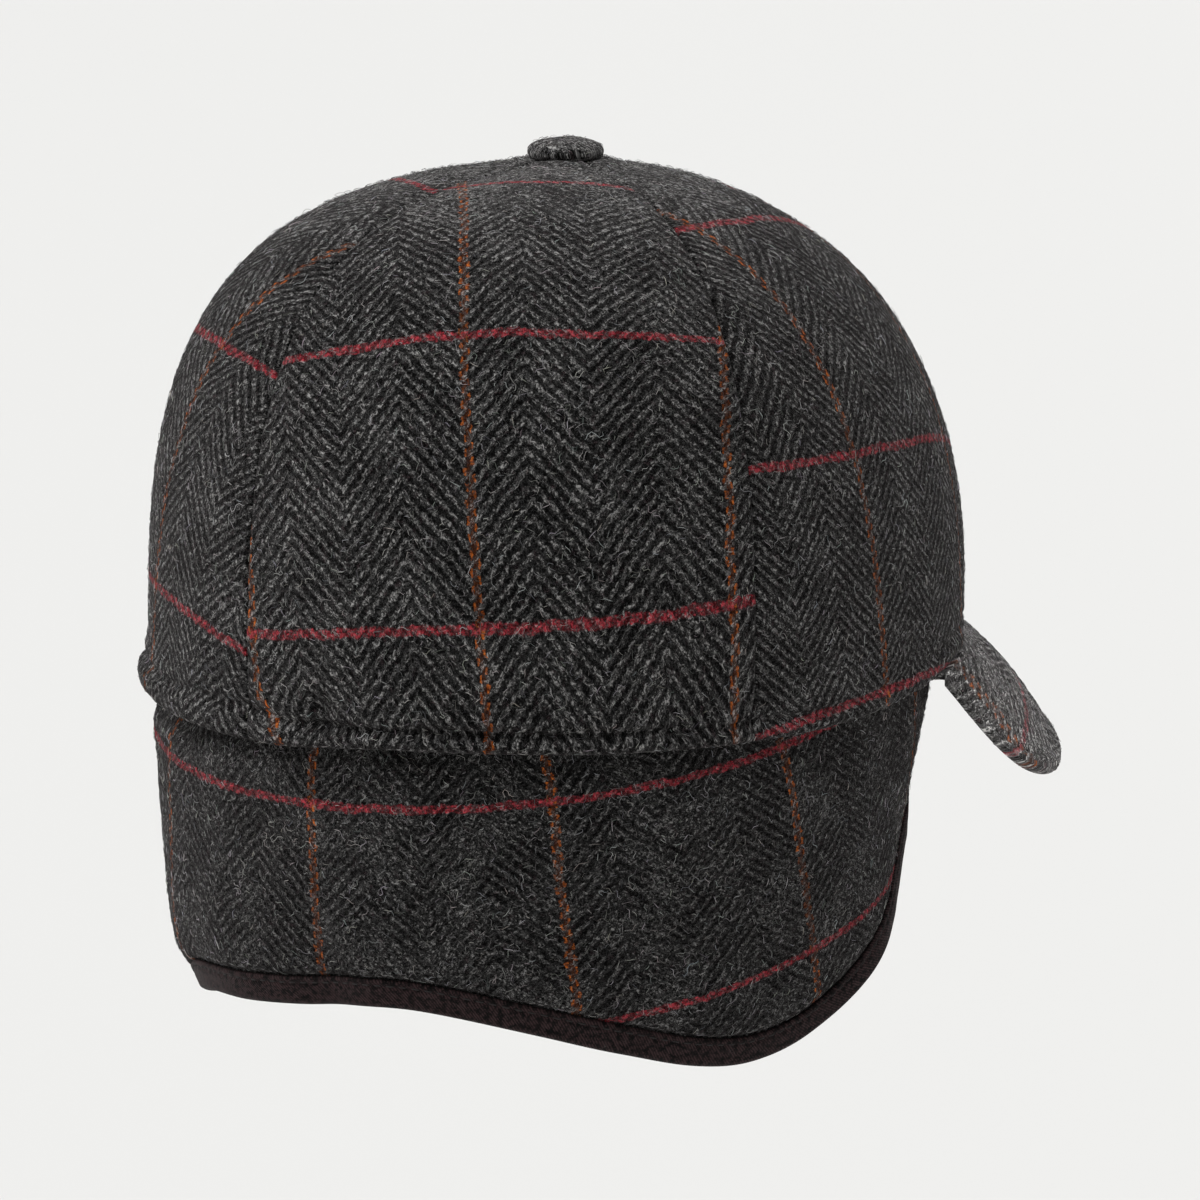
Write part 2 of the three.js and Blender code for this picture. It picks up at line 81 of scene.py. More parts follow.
# Peak
PEAK_CORNER_ANGLE = 114.0
PEAK_LENGTH = 56.5
PEAK_THICKNESS = 4.9
PEAK_CORNER_THICKNESS = 1.6
PEAK_TUCK = 3.6
PEAK_NOSE = 0.31
PEAK_TRIM = 1.3
PEAK_SIDE_FALL = 1.9
PEAK_FRONT_LIFT = 1.5
PEAK_SLOPE = 0.105
PEAK_DROP = 13.3
PEAK_SIDE_DROP = 44.8
PEAK_SIDE_POWER = 1.58
PEAK_OUTLINE_POWER = 1.83
FIT_GAP = 0.35

# Detail that only the dressed model has
SEAM_ROLL = 1.1
SEAM_ROLL_DEPTH = 0.9
SEAM_GAP = 0.2
SEAM_PUCKER = 0.3
CLOTH_WAVE = 0.35
CREASE_DEPTH = 2.3
CREASE_WIDTH = 1.15
FLAP_PUFF = 0.7
BUTTON_RISE = 1.1
BUTTON_RISE_RADIUS = 10.5
BUTTON_RISE_WIDTH = 3.6
BUTTON_UNDER = 0.36
BUTTON_PLEATS = 13
PLEAT_DEPTH = 0.14
HEM_PULL = 6.5
HEM_PULL_ANGLE = 7.0
HEM_PULL_SPREAD = 10.0
HEM_PULL_TALL = 8.0
LEAST_WALL = 0.8
FLAP_ROLL = 5.0
FLAP_ROLL_TALL = 13.0
FLAP_ROLL_NARROWS = 0.4
FLAP_ROLL_ANGLE = -50.0
FLAP_ROLL_SPREAD = 14.0
STITCH_PITCH = 2.9
STITCH_LENGTH = 2.1
STITCH_THICKNESS = 0.4
STITCH_INSET = 1.4
FINE_STEP = 1.5
HEM_STEP = 0.8
HEM_FINE_TO = 14.0

# The weave: one yarn's width, yarns in a column of the herringbone, and in a repeat of the check
YARN = 0.8
COLUMN_YARNS = 18
CHECK_YARNS = 72
CHECK = YARN * CHECK_YARNS

# Rim round the head, as in the solids: shares of its arch, and of the hem's roll and height
RIM_COLUMNS = ("angle", "rise", "roll", "tall")
RIM = np.array([
    (-180, 1.0, 0.2, 0.45),
    (-150, 0.92, 0.2, 0.45),
    (-114, 0.55, 0.3, 0.45),
    (-85, 0.05, 0.5, 0.5),
    (-60, -0.02, 1.1, 0.65),
    (-42, 0.0, 1.6, 0.75),
    (-20, -0.08, 0.7, 0.6),
    (5, -0.12, 0.4, 0.45),
    (25, 0.1, 0.5, 0.45),
    (55, 0.0, 0.5, 0.45),
    (75, -0.03, 0.4, 0.45),
    (95, 0.15, 0.35, 0.45),
    (114, 0.55, 0.3, 0.45),
    (150, 0.92, 0.2, 0.45),
    (180, 1.0, 0.2, 0.45),
])

# Lower edge of the flap, in shares of its greatest drop
EDGE_COLUMNS = ("angle", "drop")
FLAP_EDGE = np.array([
    (-156, 0.0), (-151, 0.22), (-144, 0.36), (-134, 0.46), (-122, 0.59), (-111, 0.76),
    (-99, 0.89), (-88, 0.975), (-76, 1.02), (-57, 1.035), (-44, 0.978), (-33, 0.908), (-25, 0.862),
    (-10, 0.82), (5, 0.788), (18, 0.775), (30, 0.795), (44, 0.845), (57, 0.912),
    (68, 0.968), (78, 0.99), (88, 0.965), (99, 0.875), (111, 0.74), (122, 0.57),
    (134, 0.46), (144, 0.36), (151, 0.22), (156, 0.0),
])

# How the flap hangs round the head: how far inside the rim in hem thicknesses, and shares of
# its lean and of its edge's curl
HANG_COLUMNS = ("angle", "near", "lean", "curl")
FLAP_HANG = np.array([
    (-180, 1.8, 1.0, 0.4),
    (-136, 1.7, 1.0, 0.4),
    (-120, 1.5, 0.62, 0.3),
    (-105, 1.25, 0.16, 0.25),
    (-75, 0.75, 0.22, 0.5),
    (-58, 0.5, 0.25, 0.4),
    (-45, 0.3, 0.28, 0.4),
    (-32, 0.42, 0.27, 0.6),
    (-20, 0.6, 0.24, 0.6),
    (5, 1.0, 0.28, 0.5),
    (45, 1.05, 0.27, 0.4),
    (75, 1.1, 0.25, 0.4),
    (90, 1.2, 0.34, 0.1),
    (105, 1.25, 0.36, -0.55),
    (120, 1.5, 0.88, -0.7),
    (136, 1.7, 1.25, -0.3),
    (180, 1.8, 1.0, 0.4),
])

# Soft dents in the crown: angle, height, depth, width and tall
DENTS = (
    (13, 0.95, 0.5, 1.1, 0.7),
    (13, 1.1, 1.65, 0.45, 0.6),
    (22, 2.6, 0.35, 2.6, 1.2),
    (-22, 1.5, 0.4, 1.8, 1.2),
    (70, 1.2, 0.35, 1.6, 0.9),
    (-70, 1.3, 0.35, 1.6, 0.9),
)

# Soft folds in the flap: angle, lift, width, from and to
FLAP_FOLDS = (
    (10, -0.45, 5, 0.15, 1.0),
    (18, 0.3, 6, 0.2, 1.0),
    (-8, 0.3, 8, 0.3, 1.0),
    (92, 0.35, 9, 0.2, 0.9),
    (62, -0.3, 10, 0.3, 1.0),
    (-92, 0.35, 9, 0.2, 0.9),
)

# The crease over the hem round the head: how deep, and how high in parts of the hem
CREASE_COLUMNS = ("angle", "share", "height")
CREASE = np.array([
    (-180, 0.3, 1.0),
    (-120, 0.4, 1.0),
    (-75, 0.6, 1.05),
    (-48, 1.0, 1.1),
    (-38, 0.8, 1.05),
    (-25, 0.5, 1.05),
    (-8, 0.55, 1.15),
    (4, 0.7, 1.0),
    (11, 1.0, 0.7),
    (16, 1.4, 0.6),
    (26, 1.35, 0.6),
    (45, 1.15, 0.62),
    (70, 0.75, 0.62),
    (95, 0.35, 0.7),
    (125, 0.3, 0.9),
    (180, 0.3, 1.0),
])

# Where each panel lies on the cloth, counted in repeats of the check. x runs across the
# flattened panel from its middle and y up from the rim, in decimetres, and the steamed cloth is
# stretched a little: the terms are 1, x, y, xx, xy, yy, xxx, xxy, xyy and yyy.
CUTS = {
    "crown_panel_back_right": {
        "middle": 36.5,
        "round": (-0.0038, 1.7773, 0.1506, 0.241, -0.0487, -0.0047, -0.0407, -0.0788, 0.0213, 0.036),
        "rise": (-0.3742, 0.0406, 1.269, 0.0443, -0.5745, 0.3114, -0.016, -0.3143, 0.4671, -0.0695),
    },
    "crown_panel_back_left": {
        "middle": -36.5,
        "round": (-1.1072, 1.6083, -0.447, -0.0114, -0.0079, 0.0208, 0.0035, 0.0101, 0.0081, 0.0026),
        "rise": (-0.4715, 0.0143, 1.6664, 0.2362, -0.0877, 0.1323, 0.1529, -0.1416, -0.2188, -0.0697),
    },
    "crown_panel_side_right": {
        "middle": 106.5,
        "round": (0.3644, 2.1909, 0.3405, -0.0039, -0.0365, -0.1974, -0.0168, 0.0001, 0.014, 0.0389),
        "rise": (-0.067, 0.2304, 1.9891, 0.52, 0.0359, -0.1876, -0.1091, -0.7245, 0.0843, -0.0176),
    },
    "crown_panel_side_left": {
        "middle": -106.5,
        "round": (-0.32, 1.8, -0.1),
        "rise": (-0.22, -0.12, 1.75),
    },
    "crown_panel_front": {
        "middle": 180.0,
        "round": (0.5, 1.75),
        "rise": (-0.35, 0.0, 1.72),
    },
}

# The same for the flap, where x is the angle in hundreds of degrees and y the height
FLAP_ROUND = (-0.2806, 2.9093, -0.1867, -0.0719, 0.8621, -0.0973, 0.1073, -0.1075, 0.1285, -0.0221)
FLAP_RISE = (0.2375, 0.0897, 1.7328, -0.3686, 0.3095, -0.028, -0.0246, -0.0774, 0.0157, -0.0237)


def table(rows, names, angle, name):
    """Smooth value of one column of a table at angles round the head."""
    at_rows = rows[:, 0]
    values = rows[:, names.index(name)]
    last = len(rows) - 1
    at = np.clip(np.mod(np.asarray(angle, float) + 180, 360) - 180, at_rows[0], at_rows[-1])
    a = np.clip(np.searchsorted(at_rows, at, side="left") - 1, 0, last - 1)
    b = a + 1
    before = np.maximum(a - 1, 0)
    after = np.minimum(b + 1, last)
    span = at_rows[b] - at_rows[a]
    t = (at - at_rows[a]) / span
    slope_a = (values[b] - values[before]) / (at_rows[b] - at_rows[before]) * span
    slope_b = (values[after] - values[a]) / (at_rows[after] - at_rows[a]) * span
    rise = values[b] - values[a]
    return (
        values[a]
        + t * slope_a
        + t**2 * (3 * rise - 2 * slope_a - slope_b)
        + t**3 * (slope_a + slope_b - 2 * rise)
    )


def bump(x):
    return np.exp(-np.square(x))


def smooth(x, low, high):
    t = np.clip((x - low) / (high - low), 0, 1)
    return t * t * (3 - 2 * t)


def unit(vectors):
    return vectors / np.linalg.norm(vectors, axis=-1, keepdims=True)


def noise(points, size, seed):
    """Smooth noise from -1 to 1, with lumps of about this size in millimetres."""
    grid = points / size
    low = np.floor(grid).astype(np.int64)
    part = grid - low
    part = part * part * (3 - 2 * part)
    total = 0.0
    for corner in range(8):
        step = np.array([corner & 1, corner >> 1 & 1, corner >> 2 & 1])
        cell = low + step
        mixed = cell[..., 0] * 73856093 ^ cell[..., 1] * 19349663 ^ cell[..., 2] * 83492791
        mixed = (mixed + seed * 2654435761) & 0xFFFFFFFF
        mixed = (mixed ^ mixed >> 15) * 2246822519 & 0xFFFFFFFF
        mixed = (mixed ^ mixed >> 13) * 3266489917 & 0xFFFFFFFF
        value = (mixed ^ mixed >> 16 & 0xFFFF) % 65536 / 32767.5 - 1
        total = total + value * np.prod(np.where(step == 1, part, 1 - part), axis=-1)
    return total


def power_at(power, angle):
    share = (1 + np.cos(np.radians(angle))) / 2
    return power["front"] + (power["back"] - power["front"]) * share


def rim_rise(angle):
    return RIM_ARCH * table(RIM, RIM_COLUMNS, angle, "rise")


def crown_surface(angle, turn):
    """The crown's plain surface: turn is 0 at the rim and a right angle at the top."""
    angle, turn = np.broadcast_arrays(np.asarray(angle, float), turn)
    share = np.cos(turn) ** power_at(WIDTH_POWER, angle)
    climb = np.sin(turn) ** power_at(HEIGHT_POWER, angle)
    x = -CROWN_HALF_WIDTH * share * np.sin(np.radians(angle))
    y = CROWN_HALF_LENGTH * share * np.cos(np.radians(angle)) + CROWN_LEAN * climb
    z = CROWN_HEIGHT * climb + rim_rise(angle) * (1 - climb) ** 2
    return np.stack([x, y, z], -1)


def crown_normal(angle, turn):
    low = np.maximum(turn - 0.01, 1e-4)
    high = np.minimum(turn + 0.01, np.pi / 2 - 1e-3)
    along = crown_surface(angle, high) - crown_surface(angle, low)
    across = crown_surface(angle + 1, turn) - crown_surface(angle - 1, turn)
    return unit(np.cross(across, along))


def rim_normal(angle):
    turned = np.radians(angle)
    flat = np.stack(
        [-np.sin(turned) / CROWN_HALF_WIDTH, np.cos(turned) / CROWN_HALF_LENGTH, 0 * turned], -1
    )
    return unit(flat)


def arc_length(angle_step, share):
    return np.radians(angle_step) * share * (CROWN_HALF_WIDTH + CROWN_HALF_LENGTH) / 2


def wrapped(angle):
    return np.mod(angle + 180, 360) - 180


def crown_relief(angle, turn):
    """How far the cloth stands out: puffed panels, seams, rolled hem, dents and slight waves."""
    point = crown_surface(angle, turn)
    height = point[..., 2] - rim_rise(angle)
    share = np.cos(turn) ** power_at(WIDTH_POWER, angle)
    away = np.min([np.abs(np.abs(wrapped(angle)) - seam) for seam in SEAMS], axis=0)
    from_seam = arc_length(away, share)
    relief = -0.7 * SEAM_DIP * bump(from_seam / SEAM_SPREAD)
    relief += PANEL_PUFF * (1 - bump(from_seam / (4 * SEAM_SPREAD))) * np.sin(2 * turn)
    tall = HEM_HEIGHT * table(RIM, RIM_COLUMNS, angle, "tall")
    roll = HEM_ROLL * table(RIM, RIM_COLUMNS, angle, "roll")
    relief += roll * bump((height - 0.9 * tall) / tall)
    crease = CREASE_DEPTH * table(CREASE, CREASE_COLUMNS, angle, "share")
    crease_height = HEM_HEIGHT * table(CREASE, CREASE_COLUMNS, angle, "height")
    wander = 0.5 * noise(point, 11.0, 5)
    relief -= crease * bump((height - crease_height - wander) / CREASE_WIDTH)
    for at, dent_height, depth, width, dent_tall in DENTS:
        aside = arc_length(wrapped(angle - at), 1) / (width * HEM_HEIGHT)
        above = (height - dent_height * HEM_HEIGHT) / (dent_tall * HEM_HEIGHT)
        relief -= HEM_ROLL * depth * bump(aside) * bump(above)
    # The cloth rises to the button
    from_axis = np.hypot(point[..., 0], point[..., 1] - CROWN_LEAN)
    relief += BUTTON_RISE * bump((from_axis - BUTTON_RISE_RADIUS) / BUTTON_RISE_WIDTH)
    relief += CLOTH_WAVE * noise(point, 34.0, 1) + 0.4 * CLOTH_WAVE * noise(point, 13.0, 2)
    relief += SEAM_PUCKER * noise(point, 6.0, 3) * bump(from_seam / 5.0)
    relief += 0.35 * noise(point, 9.0, 4) * bump((height - 3.0) / 5.0)
    # The cloth turns in sharply at the seam itself
    inward = np.clip(1 - from_seam / SEAM_ROLL, 0, 1)
    relief -= SEAM_ROLL_DEPTH * (1 - np.sqrt(1 - 0.98 * inward**2))
    return relief


def add_mesh(name, points, faces, cloth=None, tone=None):
    """A smooth mesh object from points in millimetres. cloth is each point's place on the
    cloth, in repeats of the check."""
    mesh = bpy.data.meshes.new(name)
    mesh.from_pydata((points * MM).tolist(), [], faces)
    mesh.polygons.foreach_set("use_smooth", np.ones(len(mesh.polygons), bool))
    corners = np.empty(len(mesh.loops), np.int32)
    mesh.loops.foreach_get("vertex_index", corners)
    if cloth is not None:
        layer = mesh.uv_layers.new(name="Cloth")
        layer.data.foreach_set("uv", cloth[corners].astype(np.float32).ravel())
    if tone is not None:
        layer = mesh.color_attributes.new("Tone", "FLOAT_COLOR", "POINT")
        layer.data.foreach_set("color", tone.astype(np.float32).ravel())
    mesh.update()
    obj = bpy.data.objects.new(name, mesh)
    bpy.context.scene.collection.objects.link(obj)
    return obj


def grid_faces(columns, rows, start, flip):
    i, j = np.meshgrid(np.arange(columns - 1), np.arange(rows - 1), indexing="ij")
    a = start + i * rows + j
    quads = np.stack([a, a + rows, a + rows + 1, a + 1], -1).reshape(-1, 4)
    return quads[:, ::-1] if flip else quads


def shell(name, outer, inner, cloth, cloth_inside=None):
    """A closed piece between an outer and an inner grid of points, joined along their borders."""
    columns, rows = outer.shape[:2]
    count = columns * rows
    last = (columns - 1) * rows
    border = np.concatenate([
        np.arange(rows),
        rows * np.arange(1, columns) + rows - 1,
        last + np.arange(rows - 2, -1, -1),
        rows * np.arange(columns - 2, -1, -1),
    ])
    ahead = border[1:]
    border = border[:-1]
    edge = np.stack([border, ahead, ahead + count, border + count], -1)
    faces = np.concatenate([
        grid_faces(columns, rows, 0, False), grid_faces(columns, rows, count, True), edge
    ])
    points = np.concatenate([outer.reshape(-1, 3), inner.reshape(-1, 3)])
    a, b, c, d = (points[faces[:, k]] for k in range(4))
    volume = (np.cross(b - a, c - a) * a).sum() + (np.cross(c - a, d - a) * a).sum()
    if volume < 0:
        faces = faces[:, ::-1]
    flat = cloth.reshape(-1, 2)
    behind = flat if cloth_inside is None else cloth_inside.reshape(-1, 2)
    return add_mesh(name, points, faces.tolist(), np.concatenate([flat, behind]))


# Outer surfaces that carry nap
nap_fields = []


def dress(obj, node):
    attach(obj, "root")
    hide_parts(node)


def place(terms, x, y):
    """Place on the cloth by the terms of a cut, which may leave out the last ones."""
    powers = (1, x, y, x * x, x * y, y * y, x**3, x * x * y, x * y * y, y**3)
    return sum(term * power for term, power in zip(terms, powers))


def panel(node, start, end):
    """One panel of the crown, between two seams."""
    width = arc_length(abs(end - start), 1)
    edge_steps = np.array([0.0, 0.25, 0.6, 1.05, 1.6])
    inside = np.linspace(2.4, width - 2.4, int(width / FINE_STEP))
    spread = np.concatenate([edge_steps, inside, width - edge_steps[::-1]]) / width
    angles = start + (end - start) * spread
    # Each meridian, traced finely from over the hem's round bottom to the hole under the button
    hole = (0.5 * SHANK_DIAMETER + FIT_GAP) / CROWN_HALF_WIDTH
    low = np.arcsin((0.5 * HEM_THICKNESS / CROWN_HEIGHT) ** (1 / power_at(HEIGHT_POWER, angles)))
    high = np.arccos(hole ** (1 / power_at(WIDTH_POWER, angles)))
    fine = np.linspace(0, 1, 500) ** 1.5
    turns = low[:, None] + (high - low)[:, None] * fine
    trace = crown_surface(angles[:, None], turns)
    steps = np.linalg.norm(np.diff(trace, axis=1), axis=-1)
    length = np.concatenate([np.zeros((len(angles), 1)), np.cumsum(steps, axis=1)], axis=1)
    total = length[:, -1]
    hem_rows = np.arange(0, HEM_FINE_TO, HEM_STEP)
    rest = np.linspace(0, 1, int((total.mean() - HEM_FINE_TO) / FINE_STEP))
    above_hem = HEM_FINE_TO + (total[:, None] - (HEM_FINE_TO + 0.001)) * rest
    along = np.concatenate([np.tile(hem_rows, (len(angles), 1)), above_hem], axis=1)
    turn = np.array([np.interp(s, l, t) for s, l, t in zip(along, length, turns)])
    # The seam's gap has the same width from the rim to the hole
    radius = np.cos(turn) ** power_at(WIDTH_POWER, angles)[:, None] * CROWN_HALF_WIDTH
    inset = np.degrees(0.5 * SEAM_GAP / radius) * np.sign(end - start)
    angle = start + inset + (end - start - 2 * inset) * spread[:, None]
    plain = crown_surface(angle, turn)
    normal = crown_normal(angle, turn)
    height = plain[..., 2] - rim_rise(angle)
    turned = 1 - smooth(height, HEM_HEIGHT, 1.6 * HEM_HEIGHT)
    wall = CROWN_WALL + (HEM_THICKNESS - CROWN_WALL) * turned
    relief = crown_relief(angle, turn)
    wall = np.maximum(wall, LEAST_WALL - relief)
    outer = plain + normal * relief[..., None]
    inner = plain - normal * wall[..., None]
    # Place on the flattened panel
    centre = CUTS[node]["middle"]
    from_axis = np.hypot(plain[..., 0], plain[..., 1] - CROWN_LEAN)
    slope = -np.gradient(from_axis, axis=1) / np.gradient(along, axis=1)
    slope = np.maximum(slope, 1e-3)
    swing = np.radians(wrapped(angle - centre)) * slope
    across = from_axis / slope * np.sin(swing) / 100
    up = (along + 2.5 + from_axis / slope * (1 - np.cos(swing))) / 100
    # The cloth is drawn round the head where it is pinched over the hem
    aside = wrapped(angle - HEM_PULL_ANGLE) / HEM_PULL_SPREAD
    across -= HEM_PULL * bump((height - 1.0) / HEM_PULL_TALL) * bump(aside) / 100
    # The hem's round bottom
    laps = np.array([1.0, 0.85, 0.68, 0.5, 0.33, 0.17])
    drop = -0.5 * HEM_THICKNESS * np.sin(laps * 0.5 * np.pi)
    part = 0.5 * laps**2
    first, behind = outer[:, :1], inner[:, :1]
    lap_outer = first + (behind - first) * part[:, None]
    lap_inner = behind + (first - behind) * part[:, None]
    lap_outer[..., 2] += drop
    lap_inner[..., 2] += drop
    outer = np.concatenate([lap_outer, outer], axis=1)
    inner = np.concatenate([lap_inner, inner], axis=1)
    lower = 0.035 * laps
    across = np.concatenate([across[:, :1] + 0 * lower, across], axis=1)
    up = np.concatenate([up[:, :1] - lower, up], axis=1)
    cut = CUTS[node]
    cloth = np.stack([place(cut["round"], across, up), place(cut["rise"], across, up)], -1)
    obj = shell("Cloth_" + node, outer, inner, cloth)
    dress(obj, node)
    nap_fields.append((node, outer[:, 2:]))
    return obj


def flap_drop(angle):
    return FLAP_DROP * table(FLAP_EDGE, EDGE_COLUMNS, angle, "drop")


def flap_fold(angle, depth):
    lift = 0.0
    share = depth / FLAP_DROP
    for at, fold_lift, width, start, end in FLAP_FOLDS:
        fade = smooth(share, start, 0.5 * (start + end))
        lift = lift + FLAP_WALL * fold_lift * fade * bump((angle - at) / width)
    return lift


def rolled(angle):
    """How much of the flap's edge turns under, from 0 to 1."""
    return bump((angle - FLAP_ROLL_ANGLE) / FLAP_ROLL_SPREAD)


def flap_surface(angle, depth):
    tucked = HEM_THICKNESS + FIT_GAP + BINDING_PROUD
    near = HEM_THICKNESS * table(FLAP_HANG, HANG_COLUMNS, angle, "near")
    lean = FLAP_LEAN * table(FLAP_HANG, HANG_COLUMNS, angle, "lean")
    below = np.maximum(depth, 0)
    from_edge = (flap_drop(angle) - below) / (1.4 * BINDING_WIDTH)
    curl = FLAP_CURL * table(FLAP_HANG, HANG_COLUMNS, angle, "curl") * bump(from_edge)
    hanging = near + lean * (below / FLAP_DROP) ** 1.4 + curl - flap_fold(angle, below)
    near_edge = np.clip(1 - (flap_drop(angle) - below) / FLAP_ROLL_TALL, 0, 1)
    hanging = hanging + FLAP_ROLL * rolled(angle) * near_edge**1.5
    freed = smooth(depth, 0.5, HEM_HEIGHT)
    inset = tucked + (hanging - tucked) * freed
    point = crown_surface(angle, 0 * angle) - rim_normal(angle) * inset[..., None]
    point[..., 2] -= depth
    return point


def flap_normal(angle, depth):
    across = flap_surface(angle + 1, depth) - flap_surface(angle - 1, depth)
    down = flap_surface(angle, depth + 1) - flap_surface(angle, depth - 1)
    return -unit(np.cross(across, down))


def flap_point(angle, depth, out):
    return flap_surface(angle, depth) + flap_normal(angle, depth) * out[..., None]


def flap_columns(steps):
    """Angles along the flap's edge, and one millimetre in from it in degrees and in depth."""
    share = np.linspace(-1, 1, steps)
    angle = FLAP_END_ANGLE * (0.8 * share + 0.2 * np.sin(0.5 * np.pi * share))
    degree = arc_length(1, 1)
    slope = (flap_drop(angle + 0.5) - flap_drop(angle - 0.5)) / degree
    length = np.hypot(slope, 1)
    # Seen from the side, the edge that turns under is narrower
    narrow = 1 - FLAP_ROLL_NARROWS * rolled(angle)
    return angle, flap_drop(angle), narrow * slope / length / degree, -narrow / length


def flap_cloth(points, angle):
    x = angle / 100
    y = points[..., 2] / 100
    return np.stack([place(FLAP_ROUND, x, y), place(FLAP_RISE, x, y)], -1)


def ear_flap():
    angle, depth, angle_in, depth_in = (x[:, None] for x in flap_columns(380))
    recess = BINDING_WALL + FIT_GAP - BINDING_PROUD
    half = 0.5 * (FLAP_WALL - 2 * recess)
    shoulder = BINDING_WIDTH + FIT_GAP
    core = np.array([
        (BINDING_WALL + FIT_GAP, 0.85),
        (BINDING_WALL + FIT_GAP + 0.7, 0.4),
        (0.6 * BINDING_WIDTH, 0.0),
        (shoulder - 0.3, 0.0),
    ])
    # Rows up the cloth, close together over the tape's edge, where it puffs up
    rows = np.concatenate([np.linspace(0, 5, 9), 5 + np.linspace(0, 1, 46)[1:] ** 1.1 * 95]) / 100
    start_angle = angle + shoulder * angle_in
    start_depth = depth + shoulder * depth_in
    top_angle = angle * FLAP_TOP_END_ANGLE / FLAP_END_ANGLE
    core_angle = angle + core[:, 0] * angle_in
    core_depth = depth + core[:, 0] * depth_in
    row_angle = start_angle + (top_angle - start_angle) * rows
    row_depth = start_depth + (-FLAP_TUCK - start_depth) * rows
    all_angle = np.concatenate([core_angle, row_angle], axis=1)
    all_depth = np.concatenate([core_depth, row_depth], axis=1)
    pressed = np.concatenate([-recess - half * core[:, 1], np.zeros(len(rows))])
    in_from_tape = np.concatenate([np.full(len(core), -1.0), np.zeros(len(rows))]) + 0 * all_depth
    in_from_tape[:, len(core):] = start_depth - row_depth
    hangs = smooth(all_depth, 1.0, 10.0)
    swell = np.clip(in_from_tape, 0, None)
    puff = FLAP_PUFF * (1 - np.exp(-swell / 2.2)) * hangs
    base = flap_surface(all_angle, all_depth)
    wave = (0.45 * noise(base, 24.0, 11) + 0.18 * noise(base, 9.0, 12)) * hangs
    wave = wave * smooth(in_from_tape, 0.0, 6.0)
    # The cloth starts under the tape's edge and rises over it
    lip = np.where(in_from_tape >= 0, -recess * np.exp(-swell / 0.5), 0.0)
    out = pressed + 0 * all_depth + puff + wave + lip
    outer = flap_point(all_angle, all_depth, out)
    back = -FLAP_WALL - (pressed + lip)
    inner = flap_point(all_angle, all_depth, back + 0 * all_depth)
    cloth = flap_cloth(outer, all_angle)
    obj = shell("Cloth_ear_flap", outer, inner, cloth)
    dress(obj, "ear_flap")
    nap_fields.append(("ear_flap", outer[:, len(core) + 1:-5]))
    return obj


def binding():
    """The tape over the flap's edge, with its fold and slight pulls along its stitched line."""
    angle, depth, angle_in, depth_in = (x[:, None] for x in flap_columns(620))
    middle = -0.5 * FLAP_WALL
    inside = BINDING_PROUD - BINDING_WALL
    across = np.concatenate([np.linspace(BINDING_WIDTH, 1.8, 14), [1.3, 0.85, 0.45, 0.15, 0.0]])
    bend = np.clip(1 - across / 1.8, 0, 1)
    face = middle + (BINDING_PROUD - middle) * np.sqrt(1 - bend**2)
    under = middle + (inside - middle) * np.sqrt(1 - bend**2)
    # The edge of the tape is turned under, and a stitched line presses it in a little further on
    turn_in = -0.45 * np.clip(1 - (BINDING_WIDTH - across) / 0.5, 0, 1) ** 2
    stitched = -0.3 * bump((across - BINDING_WIDTH + STITCH_INSET) / 0.5)
    base = flap_surface(angle + across * angle_in, depth + across * depth_in)
    pull = 0.09 * noise(base, 3.2, 21) + 0.12 * noise(base, 14.0, 22)
    pull = pull * smooth(across, 0.2, 2.0)
    front = face + turn_in + stitched + pull

    def lay(inward, out):
        return flap_point(angle + inward * angle_in, depth + inward * depth_in, out + 0 * angle)

    # The half that shows, and the half behind without its small pulls
    core_across = np.maximum(across, BINDING_WALL)
    back_across = across[::-1][1:]
    half_outer = lay(across, front)
    half_inner = lay(core_across, under)
    other_outer = lay(back_across, (2 * middle - (face + turn_in + stitched))[::-1][1:])
    other_inner = lay(core_across[::-1][1:], (2 * middle - under)[::-1][1:])
    outer = np.concatenate([half_outer, other_outer], axis=1)
    inner = np.concatenate([half_inner, other_inner], axis=1)
    step = np.linalg.norm(np.diff(outer[:, 12], axis=0), axis=-1)
    along = np.concatenate([[0], np.cumsum(step)]) / CHECK
    round_edge = np.concatenate([across, -back_across]) / CHECK
    cloth = np.stack(np.broadcast_arrays(along[:, None], round_edge[None, :]), -1)
    obj = shell("Tape_flap_binding", outer, inner, cloth)
    dress(obj, "flap_binding")
    return obj, outer[:, np.abs(across - BINDING_WIDTH + STITCH_INSET).argmin()]


